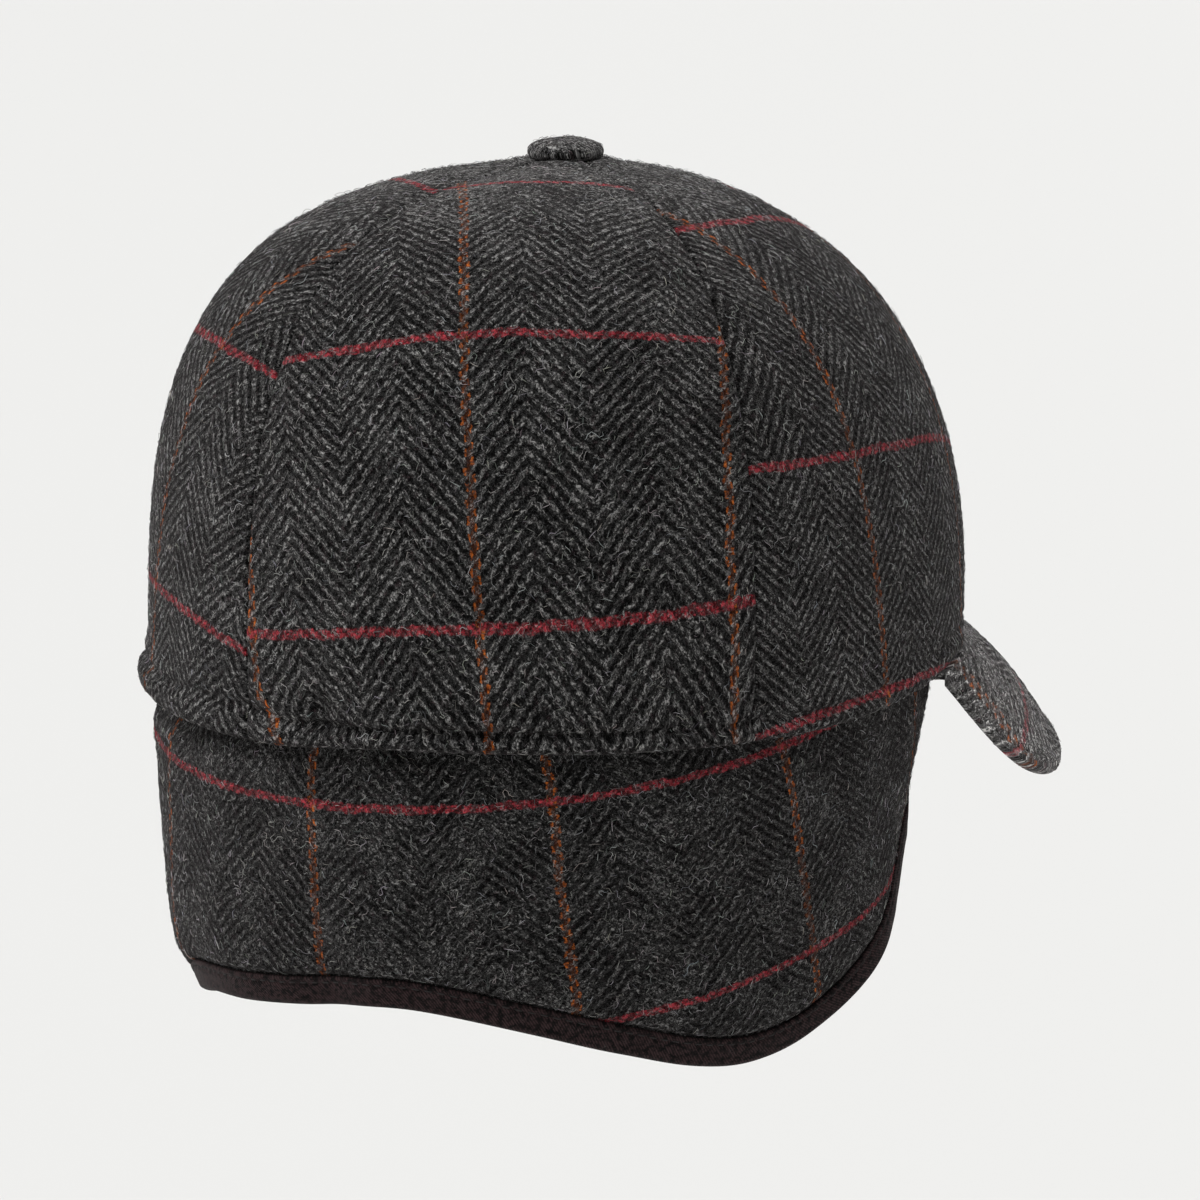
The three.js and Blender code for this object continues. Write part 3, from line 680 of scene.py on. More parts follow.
def stitches(line):
    """The row of stitches that holds the tape, as one joined mesh of short threads."""
    steps = np.linalg.norm(np.diff(line, axis=0), axis=-1)
    along = np.concatenate([[0.0], np.cumsum(steps)])
    starts = np.arange(3.0, along[-1] - 3.0 - STITCH_LENGTH, STITCH_PITCH)
    share = np.linspace(0, 1, 6)
    at = starts[:, None] + STITCH_LENGTH * share
    path = np.stack([np.interp(at, along, line[:, k]) for k in range(3)], -1)
    angle = np.degrees(np.arctan2(-path[..., 0] / CROWN_HALF_WIDTH, path[..., 1] / CROWN_HALF_LENGTH))
    outward = rim_normal(angle)
    path = path + outward * (0.16 * np.sin(np.pi * share) - 0.05)[:, None]
    ahead = unit(path[:, -1:] - path[:, :1]) + 0 * path
    beside = unit(np.cross(outward, ahead))
    rim = []
    for k in range(5):
        turn = 2 * np.pi * k / 5
        arm = math.cos(turn) * outward + math.sin(turn) * beside
        rim.append((path + 0.5 * STITCH_THICKNESS * arm)[:, 1:-1])
    middle = np.stack(rim, 2).reshape(len(starts), -1, 3)
    points = np.concatenate([path[:, :1], middle, path[:, -1:]], axis=1)
    faces = []
    for stitch in range(len(starts)):
        first = stitch * points.shape[1]
        last = first + points.shape[1] - 1
        for k in range(5):
            n = (k + 1) % 5
            faces.append((first, first + 1 + n, first + 1 + k))
            faces.append((last, last - 5 + k, last - 5 + n))
            for ring in range(3):
                low = first + 1 + 5 * ring
                faces.append((low + k, low + n, low + 5 + n, low + 5 + k))
    obj = add_mesh("Stitches_flap_binding", points.reshape(-1, 3), faces)
    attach(obj, "root")
    return obj


def peak_top(x, ahead, angle):
    aside = np.abs(x) / (CROWN_HALF_WIDTH * math.sin(math.radians(PEAK_CORNER_ANGLE)))
    share = np.maximum(ahead, 0) / PEAK_LENGTH
    slope = PEAK_SLOPE * PEAK_LENGTH + PEAK_SIDE_DROP * aside**PEAK_SIDE_POWER
    return rim_rise(angle) - FIT_GAP - (slope + 2 * PEAK_DROP * share) * share


def peak():
    """The stiff peak in its tweed cover, with a rolled front edge."""
    corner = math.radians(PEAK_CORNER_ANGLE)
    half_width = CROWN_HALF_WIDTH * math.sin(corner)
    corner_y = CROWN_HALF_LENGTH * math.cos(corner)
    reach = CROWN_HALF_LENGTH + PEAK_LENGTH - PEAK_TRIM + corner_y
    outline = 2 / PEAK_OUTLINE_POWER
    swing = np.linspace(0, np.pi, 150)[:, None]
    side = np.cos(swing)
    x = half_width * np.sign(side) * np.abs(side) ** outline
    edge_y = corner_y - reach * np.sin(swing) ** outline
    root_y = -CROWN_HALF_LENGTH * np.sqrt(1 - (x / CROWN_HALF_WIDTH) ** 2)
    angle = np.degrees(np.arctan2(-x / CROWN_HALF_WIDTH, root_y / CROWN_HALF_LENGTH))
    length = root_y - edge_y
    thickness = PEAK_THICKNESS + (PEAK_CORNER_THICKNESS - PEAK_THICKNESS) * np.abs(side) ** 24
    nose = 0.5 * thickness
    rows = np.linspace(0, 1, 40) ** 0.9
    laps = np.linspace(0, 1, 9)[1:]
    rounding = np.concatenate([np.zeros(len(rows) + 1), laps])
    lap_out = np.sin(rounding * 0.5 * np.pi)
    ahead = np.concatenate([[0.0], rows, np.ones(8)])
    real_ahead = length * ahead
    out_x = side * np.abs(side) ** 0.2
    out_y = -np.sin(swing)
    lap = PEAK_NOSE * thickness * lap_out / np.hypot(out_x, out_y)
    flat_x = x + out_x * lap + 0 * real_ahead
    flat_y = root_y - real_ahead + out_y * lap
    # The tucked row goes in under the hem
    normal = rim_normal(angle[:, 0])
    flat_x[:, 0] = x[:, 0] - PEAK_TUCK * normal[:, 0]
    flat_y[:, 0] = root_y[:, 0] - PEAK_TUCK * normal[:, 1]
    top = peak_top(x, real_ahead, angle)
    # Its sides fall a little at their edge, and its front centre is flatter
    top -= PEAK_SIDE_FALL * np.sqrt(ahead) * bump((np.abs(x) / half_width - 1.05) / 0.09)
    top += PEAK_FRONT_LIFT * bump(x / 25) * (real_ahead / PEAK_LENGTH) ** 2
    half = nose * np.sqrt(np.clip(1 - (0.98 * lap_out) ** 2, 0, 1))
    mid = top - nose
    core = np.stack([flat_x, flat_y, mid], -1)
    settle = smooth(real_ahead, 0.0, 7.0) * (1 - 0.7 * (rounding > 0))
    wave = 0.3 * noise(core, 26.0, 31) + 0.12 * noise(core, 8.0, 32)
    outer = np.stack([flat_x, flat_y, mid + half + wave * settle], -1)
    inner = np.stack([flat_x, flat_y, mid - half + 0.5 * wave * settle], -1)
    edge_arc = length * 1.12 + 0.5 * np.pi * nose
    arc = real_ahead * 1.12 + 0.5 * np.pi * nose * rounding
    round_peak = (flat_x + 0.06 * flat_y) / CHECK + 0.43
    cloth = np.stack([round_peak, (-arc + 0.1 * x) / CHECK + 0.62], -1)
    below = np.stack([round_peak, (arc - 2 * edge_arc + 0.1 * x) / CHECK + 0.62], -1)
    obj = shell("Cloth_peak", outer, inner, cloth, below)
    dress(obj, "peak")
    nap_fields.append(("peak", outer[:, 2:]))
    nap_fields.append(("peak", inner[::-1, 2:]))
    return obj


def button():
    """The covered button, with slight pleats where the cloth is gathered under its edge."""
    radius = 0.5 * BUTTON_DIAMETER
    shank = 0.5 * SHANK_DIAMETER
    dome = np.linspace(0, 0.5 * np.pi, 20)
    under = np.linspace(0, 0.5 * np.pi, 9)[1:]
    widest = FIT_GAP + BUTTON_UNDER * BUTTON_HEIGHT
    across = np.concatenate([
        radius * np.sin(dome) ** 0.92, radius * (1 - 0.2 * (1 - np.cos(under))), [shank, shank]
    ])
    up = np.concatenate([
        widest + (1 - BUTTON_UNDER) * BUTTON_HEIGHT * np.cos(dome) ** 0.95,
        widest - BUTTON_UNDER * BUTTON_HEIGHT * np.sin(under),
        [FIT_GAP, -CROWN_WALL],
    ])
    sides = 96
    turn = np.linspace(0, 2 * np.pi, sides, endpoint=False)[:, None]
    pleat = PLEAT_DEPTH * np.sin(BUTTON_PLEATS * turn + 2 * np.sin(3 * turn))
    pleat = pleat * smooth(across / radius, 0.75, 1.0)
    pleat = pleat * np.concatenate([np.ones(len(dome) + len(under)), [0, 0]])
    wide = across[1:] + pleat[:, 1:]
    points = np.stack([
        wide * np.cos(turn), wide * np.sin(turn) + CROWN_LEAN, up[1:] + CROWN_HEIGHT + 0 * wide
    ], -1)
    lumps = np.concatenate([np.ones(len(across) - 3), [0, 0]])
    points[..., 2] += PLEAT_DEPTH * noise(points, 4.0, 41) * lumps
    rows = len(across) - 1
    flat = points.reshape(-1, 3)
    top = np.array([[0, CROWN_LEAN, CROWN_HEIGHT + up[0]]])
    bottom = np.array([[0, CROWN_LEAN, CROWN_HEIGHT + up[-1]]])
    all_points = np.concatenate([flat, top, bottom])
    faces = []
    for i in range(sides):
        k = (i + 1) % sides
        for j in range(rows - 1):
            faces.append((i * rows + j, i * rows + j + 1, k * rows + j + 1, k * rows + j))
        faces.append((len(flat), i * rows, k * rows))
        faces.append((len(flat) + 1, k * rows + rows - 1, i * rows + rows - 1))
    cloth = all_points[:, :2] / CHECK + np.array([0.21, 0.44])
    cloth[:, 1] -= (all_points[:, 2] - CROWN_HEIGHT) * 0.4 / CHECK
    obj = add_mesh("Cloth_top_button", all_points, faces, cloth)
    dress(obj, "top_button")
    nap_fields.append(("top_button", points[::-1, : len(dome) + 3]))
    return obj


# Nap


def scatter(rng, outer, count):
    """Random places on a grid's surface, spread evenly over its area, and that area."""
    a, b = outer[:-1, :-1], outer[1:, :-1]
    c, d = outer[1:, 1:], outer[:-1, 1:]
    size = np.linalg.norm(np.cross(c - a, d - b), axis=-1)
    share = np.cumsum(size.ravel())
    pick = np.searchsorted(share, rng.uniform(0, share[-1], count))
    i, j = np.unravel_index(np.minimum(pick, size.size - 1), size.shape)
    s, t = rng.uniform(0, 1, (2, count))
    return i + s, j + t, 0.5 * share[-1]


def on_grid(outer, a, b):
    """Points at places on a grid, and the surface's two directions there."""
    i = np.clip(np.floor(a).astype(int), 0, outer.shape[0] - 2)
    j = np.clip(np.floor(b).astype(int), 0, outer.shape[1] - 2)
    s = (a - i)[:, None]
    t = (b - j)[:, None]
    near, beside = outer[i, j], outer[i + 1, j]
    above, across = outer[i, j + 1], outer[i + 1, j + 1]
    along_a = (beside - near) * (1 - t) + (across - above) * t
    along_b = (above - near) * (1 - s) + (across - beside) * s
    return near + (beside - near) * s + along_b * t, along_a, along_b


def fibres(rng, outer, a, b, rings, length, curl, lift, radius):
    """Closed, tapered and curled fibres that lie on the cloth: their points and faces."""
    count = len(a)
    steps = rings + 1
    t = np.linspace(0, 1, steps + 1)
    long = rng.uniform(*length, (count, 1))
    heading = rng.uniform(0, 2 * np.pi, (count, 1)) + rng.normal(0, curl, (count, 1)) * t
    heading = heading + 0.35 * curl * np.sin(2 * np.pi * (t * 1.3 + rng.uniform(0, 1, (count, 1))))
    rise = rng.uniform(*lift, (count, 1)) * np.sin(np.pi * np.minimum(t * 0.85 + 0.03, 1)) - 0.1
    path, normals = [], []
    for k in range(steps + 1):
        point, along_a, along_b = on_grid(outer, a, b)
        normal = unit(np.cross(along_a, along_b))
        standing = 1 + NAP_STANDS * smooth(normal[:, 2:], 0.7, 0.97)
        path.append(point + normal * rise[:, k : k + 1] * standing)
        normals.append(normal)
        # One step over the surface
        first = unit(along_a)
        turn = heading[:, k : k + 1]
        step = (np.cos(turn) * first + np.sin(turn) * np.cross(normal, first)) * long / steps
        aa = (along_a * along_a).sum(-1)
        ab = (along_a * along_b).sum(-1)
        bb = (along_b * along_b).sum(-1)
        step_a = (step * along_a).sum(-1)
        step_b = (step * along_b).sum(-1)
        spread = aa * bb - ab * ab + 1e-9
        a = np.clip(a + (step_a * bb - step_b * ab) / spread, 0, outer.shape[0] - 1.001)
        b = np.clip(b + (step_b * aa - step_a * ab) / spread, 0, outer.shape[1] - 1.001)
    path = np.stack(path, 1)
    normals = np.stack(normals, 1)
    along = unit(np.gradient(path, axis=1))
    up = normals - along * (normals * along).sum(-1, keepdims=True)
    up = unit(up)
    beside = np.cross(along, up)
    thick = rng.uniform(*radius, (count, 1, 1))
    middle = path[:, 1:-1]
    rim = []
    for k in range(3):
        round_it = 2 * np.pi * k / 3
        rim.append(middle + thick * (math.cos(round_it) * up + math.sin(round_it) * beside)[:, 1:-1])
    rim = np.stack(rim, 2).reshape(count, -1, 3)
    points = np.concatenate([path[:, :1], rim, path[:, -1:]], axis=1)
    each = points.shape[1]
    tris, quads = [], []
    for k in range(3):
        n = (k + 1) % 3
        tris.append((0, 1 + n, 1 + k))
        tris.append((each - 1, 1 + 3 * (rings - 1) + k, 1 + 3 * (rings - 1) + n))
        for r in range(rings - 1):
            low = 1 + 3 * r
            quads.append((low + k, low + n, low + 3 + n, low + 3 + k))
    offset = (np.arange(count) * each)[:, None, None]
    all_tris = (np.array(tris) + offset).reshape(-1, 3)
    all_quads = (np.array(quads) + offset).reshape(-1, 4)
    return points.reshape(-1, 3), all_tris, all_quads, each


# How much more the nap stands up on the top of the cap, where nothing presses it
NAP_STANDS = 1.5

# Nap on each piece: short fibres and long curls for each square centimetre
NAP = {
    "crown": (29.5, 1.2),
    "flap": (31.5, 1.5),
    "peak": (36.0, 1.0),
    "button": (34.0, 0.4),
}


def nap(name, fields, kind, seed):
    """The nap of one piece as one joined mesh of separate fibres."""
    rng = np.random.default_rng(seed)
    short, curls = NAP[kind]
    points, faces, tones, start = [], [], [], 0
    for outer in fields:
        area = scatter(rng, outer, 1)[2] / 100
        sets = (
            (int(area * short), 2, (1.4, 3.8), 1.5, (0.06, 0.32), (0.04, 0.068), (0.02, 0.62)),
            (int(area * curls), 6, (3.5, 7.5), 3.4, (0.1, 0.5), (0.045, 0.065), (0.12, 0.6)),
        )
        for count, rings, length, curl, lift, radius, shade in sets:
            a, b, _ = scatter(rng, outer, max(count, 1))
            found, tris, quads, each = fibres(rng, outer, a, b, rings, length, curl, lift, radius)
            points.append(found)
            faces += (tris + start).tolist() + (quads + start).tolist()
            start += len(found)
            low, high = shade
            shades = low + (high - low) * rng.uniform(0, 1, (len(a), 1)) ** 3 * np.ones((1, 3))
            tint = rng.normal(0, 0.05, (len(a), 3))
            shades = np.clip(shades * (1 + tint) * np.array([1.0, 0.98, 0.97]), 0.02, 0.6)
            colour = np.concatenate([shades, np.ones((len(a), 1))], axis=1)
            tones.append(np.repeat(colour, each, axis=0))
    obj = add_mesh(name, np.concatenate(points), faces, tone=np.concatenate(tones))
    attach(obj, "root")
    return obj


# Materials


class Graph:
    """Short calls for the nodes of one material."""

    def __init__(self, name):
        self.material = bpy.data.materials.new(name)
        self.material.use_nodes = True
        self.tree = self.material.node_tree
        self.shader = self.tree.nodes["Principled BSDF"]

    def node(self, kind, **settings):
        made = self.tree.nodes.new(kind)
        for key, value in settings.items():
            setattr(made, key, value)
        return made

    def put(self, socket, value):
        if isinstance(value, bpy.types.NodeSocket):
            self.tree.links.new(value, socket)
        else:
            socket.default_value = value

    def math(self, operation, *values, clamp=False):
        made = self.node("ShaderNodeMath", operation=operation, use_clamp=clamp)
        for k, value in enumerate(values):
            self.put(made.inputs[k], value)
        return made.outputs[0]

    def times(self, first, second):
        return self.math("MULTIPLY", first, second)

    def plus(self, first, second):
        return self.math("ADD", first, second)

    def minus(self, first, second):
        return self.math("SUBTRACT", first, second)

    def line(self, value, slope, start):
        return self.math("MULTIPLY_ADD", value, slope, start)

    def span(self, value, low, high, out_low=0.0, out_high=1.0):
        made = self.node("ShaderNodeMapRange", interpolation_type="SMOOTHSTEP")
        for k, item in enumerate((value, low, high, out_low, out_high)):
            self.put(made.inputs[k], item)
        return made.outputs[0]

    def mix(self, share, first, second, blend="MIX"):
        made = self.node("ShaderNodeMix", data_type="RGBA", blend_type=blend)
        self.put(made.inputs[0], share)
        self.put(made.inputs[6], first)
        self.put(made.inputs[7], second)
        return made.outputs[2]

    def noise(self, vector, scale, detail=2.0, rough=0.5, twist=0.0):
        made = self.node("ShaderNodeTexNoise")
        self.put(made.inputs["Vector"], vector)
        self.put(made.inputs["Scale"], scale)
        self.put(made.inputs["Detail"], detail)
        self.put(made.inputs["Roughness"], rough)
        self.put(made.inputs["Distortion"], twist)
        return made.outputs["Fac"]

    def wander(self, vector, scale, size, *detail):
        """Noise that runs as far below zero as above it."""
        return self.times(self.minus(self.noise(vector, scale, *detail), 0.5), size)

    def cloth(self):
        """Place on the cloth in millimetres, as two numbers and as a vector."""
        place_on = self.node("ShaderNodeUVMap", uv_map="Cloth")
        split = self.node("ShaderNodeSeparateXYZ")
        self.put(split.inputs[0], place_on.outputs[0])
        u = self.times(split.outputs[0], CHECK)
        v = self.times(split.outputs[1], CHECK)
        return u, v, self.vector(u, v)

    def vector(self, x, y, z=0.0):
        made = self.node("ShaderNodeCombineXYZ")
        for k, item in enumerate((x, y, z)):
            self.put(made.inputs[k], item)
        return made.outputs[0]

    def finish(self, colour, rough, height, distance, sheen, sheen_rough, sheen_tint, specular):
        shader = self.shader.inputs
        self.put(shader["Base Color"], colour)
        self.put(shader["Roughness"], rough)
        shader["Specular IOR Level"].default_value = specular
        shader["Sheen Weight"].default_value = sheen
        shader["Sheen Roughness"].default_value = sheen_rough
        shader["Sheen Tint"].default_value = sheen_tint
        made = self.node("ShaderNodeBump")
        made.inputs["Strength"].default_value = 1.0
        made.inputs["Distance"].default_value = distance * MM
        self.put(made.inputs["Height"], height)
        self.tree.links.new(made.outputs[0], shader["Normal"])
        return self.material


def grey(value, warm=0.0):
    return (value * (1 + warm), value, value * (1 - warm), 1.0)


# Hairs drawn in the weave, coarse to fine: size, twist, width and where their noise starts
HAIRS = (
    (0.95, 2.4, 0.034, 0.0),
    (1.5, 1.8, 0.036, 31.0),
    (2.2, 1.4, 0.03, 67.0),
)

# Dark and light ends of the check's yarns, and of the tape
RED = ((0.16, 0.009, 0.014, 1), (0.66, 0.07, 0.095, 1))
ORANGE = ((0.2, 0.04, 0.008, 1), (0.8, 0.21, 0.035, 1))
TAPE = ((0.0004, 0.0002, 0.0002, 1), (0.04, 0.0225, 0.0235, 1))
TAPE_WORN = (0.019, 0.0105, 0.011, 1)
TAPE_RIB = 0.8


def tweed(name, brushed=0.4, lift=1.0, sheen=0.14):
    """Brushed 2/2 herringbone twill with a thin windowpane check. lift scales the whole colour of a
    piece: above 1 it is painted light, below 1 painted shade.
    """
    g = Graph(name)
    flat_u, flat_v, flat = g.cloth()
    # Woollen yarn wanders a little
    slow_u = g.wander(flat, 0.16, 2.0)
    slow_v = g.wander(flat, 0.13, 2.0, 2.5)
    fast_u = g.wander(flat, 0.9, 1.5, 3.0)
    fast_v = g.wander(flat, 0.8, 1.5, 3.0)
    u = g.plus(flat_u, g.plus(slow_u, fast_u))
    v = g.plus(flat_v, g.plus(slow_v, fast_v))
    yarn_u = g.math("DIVIDE", u, YARN)
    yarn_v = g.math("DIVIDE", v, YARN)
    index_u = g.math("FLOOR", yarn_u)
    index_v = g.math("FLOOR", yarn_v)
    # Zigzag of the herringbone, then which yarn lies on top
    turned = g.math("FLOORED_MODULO", index_u, 2.0 * COLUMN_YARNS)
    from_turn = g.math("ABSOLUTE", g.minus(turned, float(COLUMN_YARNS)))
    zig = g.minus(float(COLUMN_YARNS), from_turn)
    phase = g.math("FLOORED_MODULO", g.minus(index_v, zig), 4.0)
    warp = g.math("LESS_THAN", phase, 1.5)
    weft = g.minus(1.0, warp)
    # The twill's ribs, and fibres that follow them
    fold = g.math("PINGPONG", yarn_u, float(COLUMN_YARNS))
    column = g.math("FLOOR", g.math("DIVIDE", yarn_u, float(COLUMN_YARNS)))
    over = g.minus(yarn_v, fold)
    along = g.plus(yarn_v, fold)
    slant = g.line(over, 2 * math.pi / 4, math.pi + 0.4)
    wave = g.line(g.math("SINE", slant), 0.5, 0.5)
    patch = g.noise(flat, 0.07, 3.0, 0.6)
    # Towards the top of the crown and over the button, by height, the cloth is more brushed and its
    # colour is painted lighter as if lit from above: painted light
    spot = g.node("ShaderNodeSeparateXYZ")
    g.tree.links.new(g.node("ShaderNodeTexCoord").outputs["Object"], spot.inputs[0])
    top_brushed_and_painted_light = g.span(g.line(patch, 0.012, spot.outputs[2]), 0.108, 0.126)
    worn = g.times(g.span(patch, 0.36, 0.62), brushed)
    worn = g.math("MAXIMUM", worn, g.times(top_brushed_and_painted_light, 0.85))
    ragged = g.wander(flat, 1.15, 2.7, 3.0, 0.7, 0.6)
    edge = g.plus(wave, ragged)
    rib = g.span(edge, 0.2, 0.78)
    rib = g.plus(rib, g.times(g.minus(0.6, rib), worn))
    spread = g.times(column, 7.3)
    ribwise = g.vector(g.times(along, 0.5), g.times(over, 1.7), spread)
    streaks = g.span(g.noise(ribwise, 1.0, 3.0, 0.65, 0.5), 0.36, 0.68)
    curly = g.span(g.noise(flat, 0.9, 3.0, 0.75, 1.7), 0.38, 0.62)
    grain = g.span(g.noise(flat, 1.35, 3.0, 0.72, 0.9), 0.36, 0.68)
    light = g.line(rib, 0.86, 0.1)
    light = g.times(light, g.line(streaks, 0.95, 0.28))
    light = g.times(light, g.line(grain, 1.05, 0.28))
    light = g.times(light, g.span(patch, 0.3, 0.7, 0.78, 1.22))
    matted = g.line(curly, 1.5, -0.7)
    light = g.times(light, g.line(worn, matted, 1.0))
    # Painted light: the colour is up to 0.4 lighter near the top
    light = g.times(light, g.line(top_brushed_and_painted_light, 0.4, 1.0))
    # Curled hairs, broken into short lengths
    hairs = None
    for size, twist, width, offset in HAIRS:
        moved = g.vector(g.plus(flat_u, offset), flat_v, offset)
        ridge = g.math("ABSOLUTE", g.minus(g.noise(moved, size, 1.5, 0.5, twist), 0.5))
        line = g.span(ridge, 0.0, width, 1.0, 0.0)
        line = g.times(line, g.span(g.noise(moved, 0.8 * size, 1.0), 0.5, 0.62))
        hairs = line if hairs is None else g.math("MAXIMUM", hairs, line)
    dark = grey(0.0022 * lift, 0.02)
    light = g.math("POWER", light, 2.2, clamp=True)
    colour = g.mix(light, dark, grey(0.38 * lift, 0.02))
    # Orange warp yarns and red weft yarns of the check
    in_check_u = g.math("FLOORED_MODULO", index_u, float(CHECK_YARNS))
    first = g.math("COMPARE", in_check_u, 0.0, 0.4)
    second = g.math("COMPARE", in_check_u, 2.0, 0.4)
    between = g.math("COMPARE", in_check_u, 1.0, 0.4)
    slim = g.math("PINGPONG", yarn_u, 0.5)
    orange_yarn = g.times(g.plus(first, second), g.span(slim, 0.0, 0.28))
    half_check = 0.5 * CHECK_YARNS
    in_check = g.math("FLOORED_MODULO", g.plus(yarn_v, half_check), float(CHECK_YARNS))
    from_line = g.math("ABSOLUTE", g.minus(in_check, half_check))
    from_line = g.plus(from_line, g.times(ragged, 0.22))
    red_yarn = g.span(from_line, 0.85, 1.5, 1.0, 0.0)
    cover = g.span(g.noise(flat, 1.5, 3.0, 0.65, 0.5), 0.32, 0.58, 0.12, 1.0)
    fading = g.span(g.noise(flat, 0.09, 2.0), 0.36, 0.56, 0.35, 1.0)
    orange = g.line(warp, 0.95, 0.03)
    orange = g.times(g.times(orange_yarn, orange), g.times(cover, fading))
    orange = g.plus(orange, g.times(between, 0.1))
    red = g.line(weft, 0.68, 0.3)
    red = g.times(g.times(red_yarn, red), cover)
    red_colour = g.mix(grain, *RED)
    orange_colour = g.mix(grain, *ORANGE)
    colour = g.mix(red, colour, red_colour)
    colour = g.mix(orange, colour, orange_colour)
    # Some of the loose hairs are tinted
    tint = g.span(g.noise(flat, 0.5, 1.0), 0.55, 0.72)
    hair_colour = g.mix(tint, grey(0.16 * lift), (0.19 * lift, 0.125 * lift, 0.14 * lift, 1))
    colour = g.mix(g.times(hairs, 0.42 + 0.3 * brushed), colour, hair_colour)
    height = g.plus(g.times(rib, 0.9), g.times(grain, 0.5))
    height = g.plus(height, g.times(hairs, 0.4))
    height = g.plus(height, g.times(streaks, 0.3))
    return g.finish(colour, 0.95, height, 0.3, sheen, 0.18, (0.76, 0.68, 0.69, 1), 0.03)


def nap_material(name):
    g = Graph(name)
    tone = g.node("ShaderNodeAttribute", attribute_name="Tone")
    g.put(g.shader.inputs["Base Color"], tone.outputs["Color"])
    g.shader.inputs["Roughness"].default_value = 0.85
    g.shader.inputs["Specular IOR Level"].default_value = 0.1
    return g.material


def plain(name, colour, rough):
    g = Graph(name)
    g.shader.inputs["Base Color"].default_value = colour
    g.shader.inputs["Roughness"].default_value = rough
    return g.material


def tape(name):
    """Dark ribbed bias tape, slightly satin."""
    g = Graph(name)
    along, across, flat = g.cloth()
    shake = g.wander(flat, 0.9, 0.5)
    slanted = g.plus(g.line(across, 0.9, along), shake)
    rib = g.line(g.math("SINE", g.times(slanted, 2 * math.pi / TAPE_RIB)), 0.5, 0.5)
    lint = g.math("ABSOLUTE", g.minus(g.noise(flat, 0.75, 2.0, 0.5, 2.0), 0.5))
    lint = g.times(g.span(lint, 0.0, 0.012, 1.0, 0.0), g.span(g.noise(flat, 0.35), 0.55, 0.7))
    wear = g.span(g.noise(flat, 0.12, 3.0), 0.35, 0.7)
    mottle = g.span(g.noise(flat, 0.7, 3.0, 0.75), 0.4, 0.6, 0.0, 1.5)
    tone = g.math("MULTIPLY", g.math("MULTIPLY_ADD", rib, 0.85, 0.15), mottle, clamp=True)
    colour = g.mix(tone, *TAPE)
    colour = g.mix(g.times(wear, 0.2), colour, TAPE_WORN)
    colour = g.mix(g.times(lint, 0.4), colour, grey(0.12))
    height = g.plus(g.times(rib, 0.5), g.times(g.noise(flat, 1.4, 3.0), 0.6))
    return g.finish(colour, 0.7, height, 0.16, 0.05, 0.3, (0.55, 0.48, 0.48, 1), 0.1)


# Build

SPANS = {
    "crown_panel_back_right": (SEAMS[0], SEAMS[1]),
    "crown_panel_back_left": (-SEAMS[1], SEAMS[0]),
    "crown_panel_side_right": (SEAMS[1], SEAMS[2]),
    "crown_panel_side_left": (-SEAMS[2], -SEAMS[1]),
    "crown_panel_front": (SEAMS[2], 360 - SEAMS[2]),
}
panels = [panel(node, start, end) for node, (start, end) in SPANS.items()]
flap = ear_flap()
tape_piece, stitch_line = binding()
thread_piece = stitches(stitch_line)
peak_piece = peak()
button_piece = button()

crown_cloth = tweed("crown_tweed")
for piece in panels:
    piece.data.materials.append(crown_cloth)
# One cloth in lit and shaded copies: the flap's colour is darkened as painted shade under the rim,
# and the peak's and button's are lightened as painted light
flap.data.materials.append(tweed("flap_tweed", brushed=0.85, lift=0.68))
peak_piece.data.materials.append(tweed("peak_tweed", brushed=1.0, lift=2.9, sheen=0.3))
button_piece.data.materials.append(tweed("button_tweed", brushed=1.0, lift=1.3, sheen=0.2))
tape_piece.data.materials.append(tape("binding_tape"))
thread_piece.data.materials.append(plain("thread", (0.008, 0.0048, 0.0048, 1), 0.8))
hair = nap_material("nap")

seed = 100
for node, outer in nap_fields:
    seed += 1
    kind = {"ear": "flap", "pea": "peak", "top": "button"}.get(node[:3], "crown")
    fluff = nap(f"Nap_{seed}_{node}", [outer], kind, seed)
    fluff.data.materials.append(hair)

# Stage, camera and light

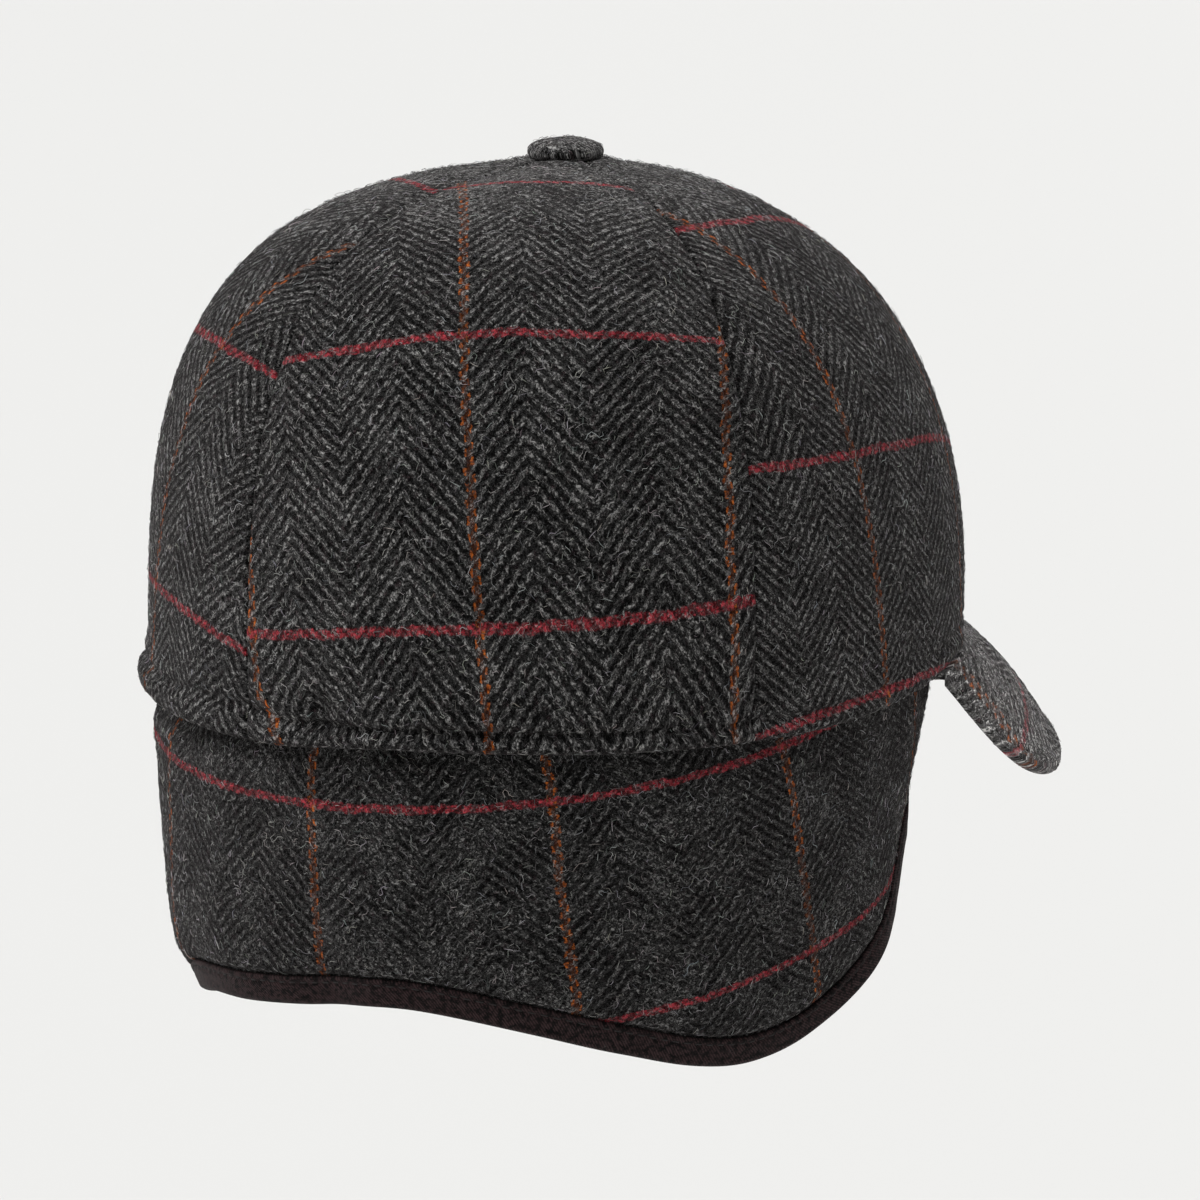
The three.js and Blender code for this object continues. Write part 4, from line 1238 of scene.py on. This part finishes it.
FLOOR_HEIGHT = -0.42
FLOOR_REACH = 30.0
corners = [
    (x * FLOOR_REACH, y * FLOOR_REACH, FLOOR_HEIGHT) for x, y in ((-1, -1), (1, -1), (1, 1), (-1, 1))
]
stage = bpy.data.meshes.new("Floor")
stage.from_pydata(corners, [], [(0, 1, 2, 3)])
floor = bpy.data.objects.new("Floor", stage)
bpy.context.scene.collection.objects.link(floor)
floor.data.materials.append(plain("Floor_paint", (0.652, 0.65, 0.64, 1), 0.9))

# The camera was fitted to the outline, the seams and the rim in the photo
AZIMUTH = math.radians(222.86)
ELEVATION = math.radians(11.62)
LENS = 126.9
SHIFT = (0.0328, 0.0566)
camera_data = bpy.data.cameras.new("Camera")
camera_data.lens = LENS
camera_data.sensor_width = 36.0
camera_data.shift_x, camera_data.shift_y = SHIFT
camera = bpy.data.objects.new("Camera", camera_data)
bpy.context.scene.collection.objects.link(camera)
camera.location = (
    math.sin(AZIMUTH) * math.cos(ELEVATION),
    -math.cos(AZIMUTH) * math.cos(ELEVATION),
    math.sin(ELEVATION),
)
camera.rotation_euler = (math.pi / 2 - ELEVATION, 0, AZIMUTH)
bpy.context.scene.camera = camera

# Suns: azimuth and elevation they shine from, strength and angle across
SUNS = (
    ("Key", 182, 58, 1.2, 55),
    ("Top", 250, 84, 0.35, 60),
    ("Left", 130, 42, 1.6, 40),
    ("Front", 12, 38, 1.25, 45),
    ("Right", 302, 38, 0.15, 40),
)
for name, azimuth, elevation, strength, spread in SUNS:
    lamp = bpy.data.lights.new(name, "SUN")
    lamp.energy = strength
    lamp.angle = math.radians(spread)
    sun = bpy.data.objects.new(name, lamp)
    sun.rotation_euler = (math.pi / 2 - math.radians(elevation), 0, math.radians(azimuth))
    bpy.context.scene.collection.objects.link(sun)

world = bpy.data.worlds.new("World")
world.use_nodes = True
sky = world.node_tree.nodes["Background"].inputs
sky["Color"].default_value = (1.0, 1.0, 0.992, 1)
sky["Strength"].default_value = 0.27
bpy.context.scene.world = world
bpy.context.scene.view_settings.view_transform = "Standard"
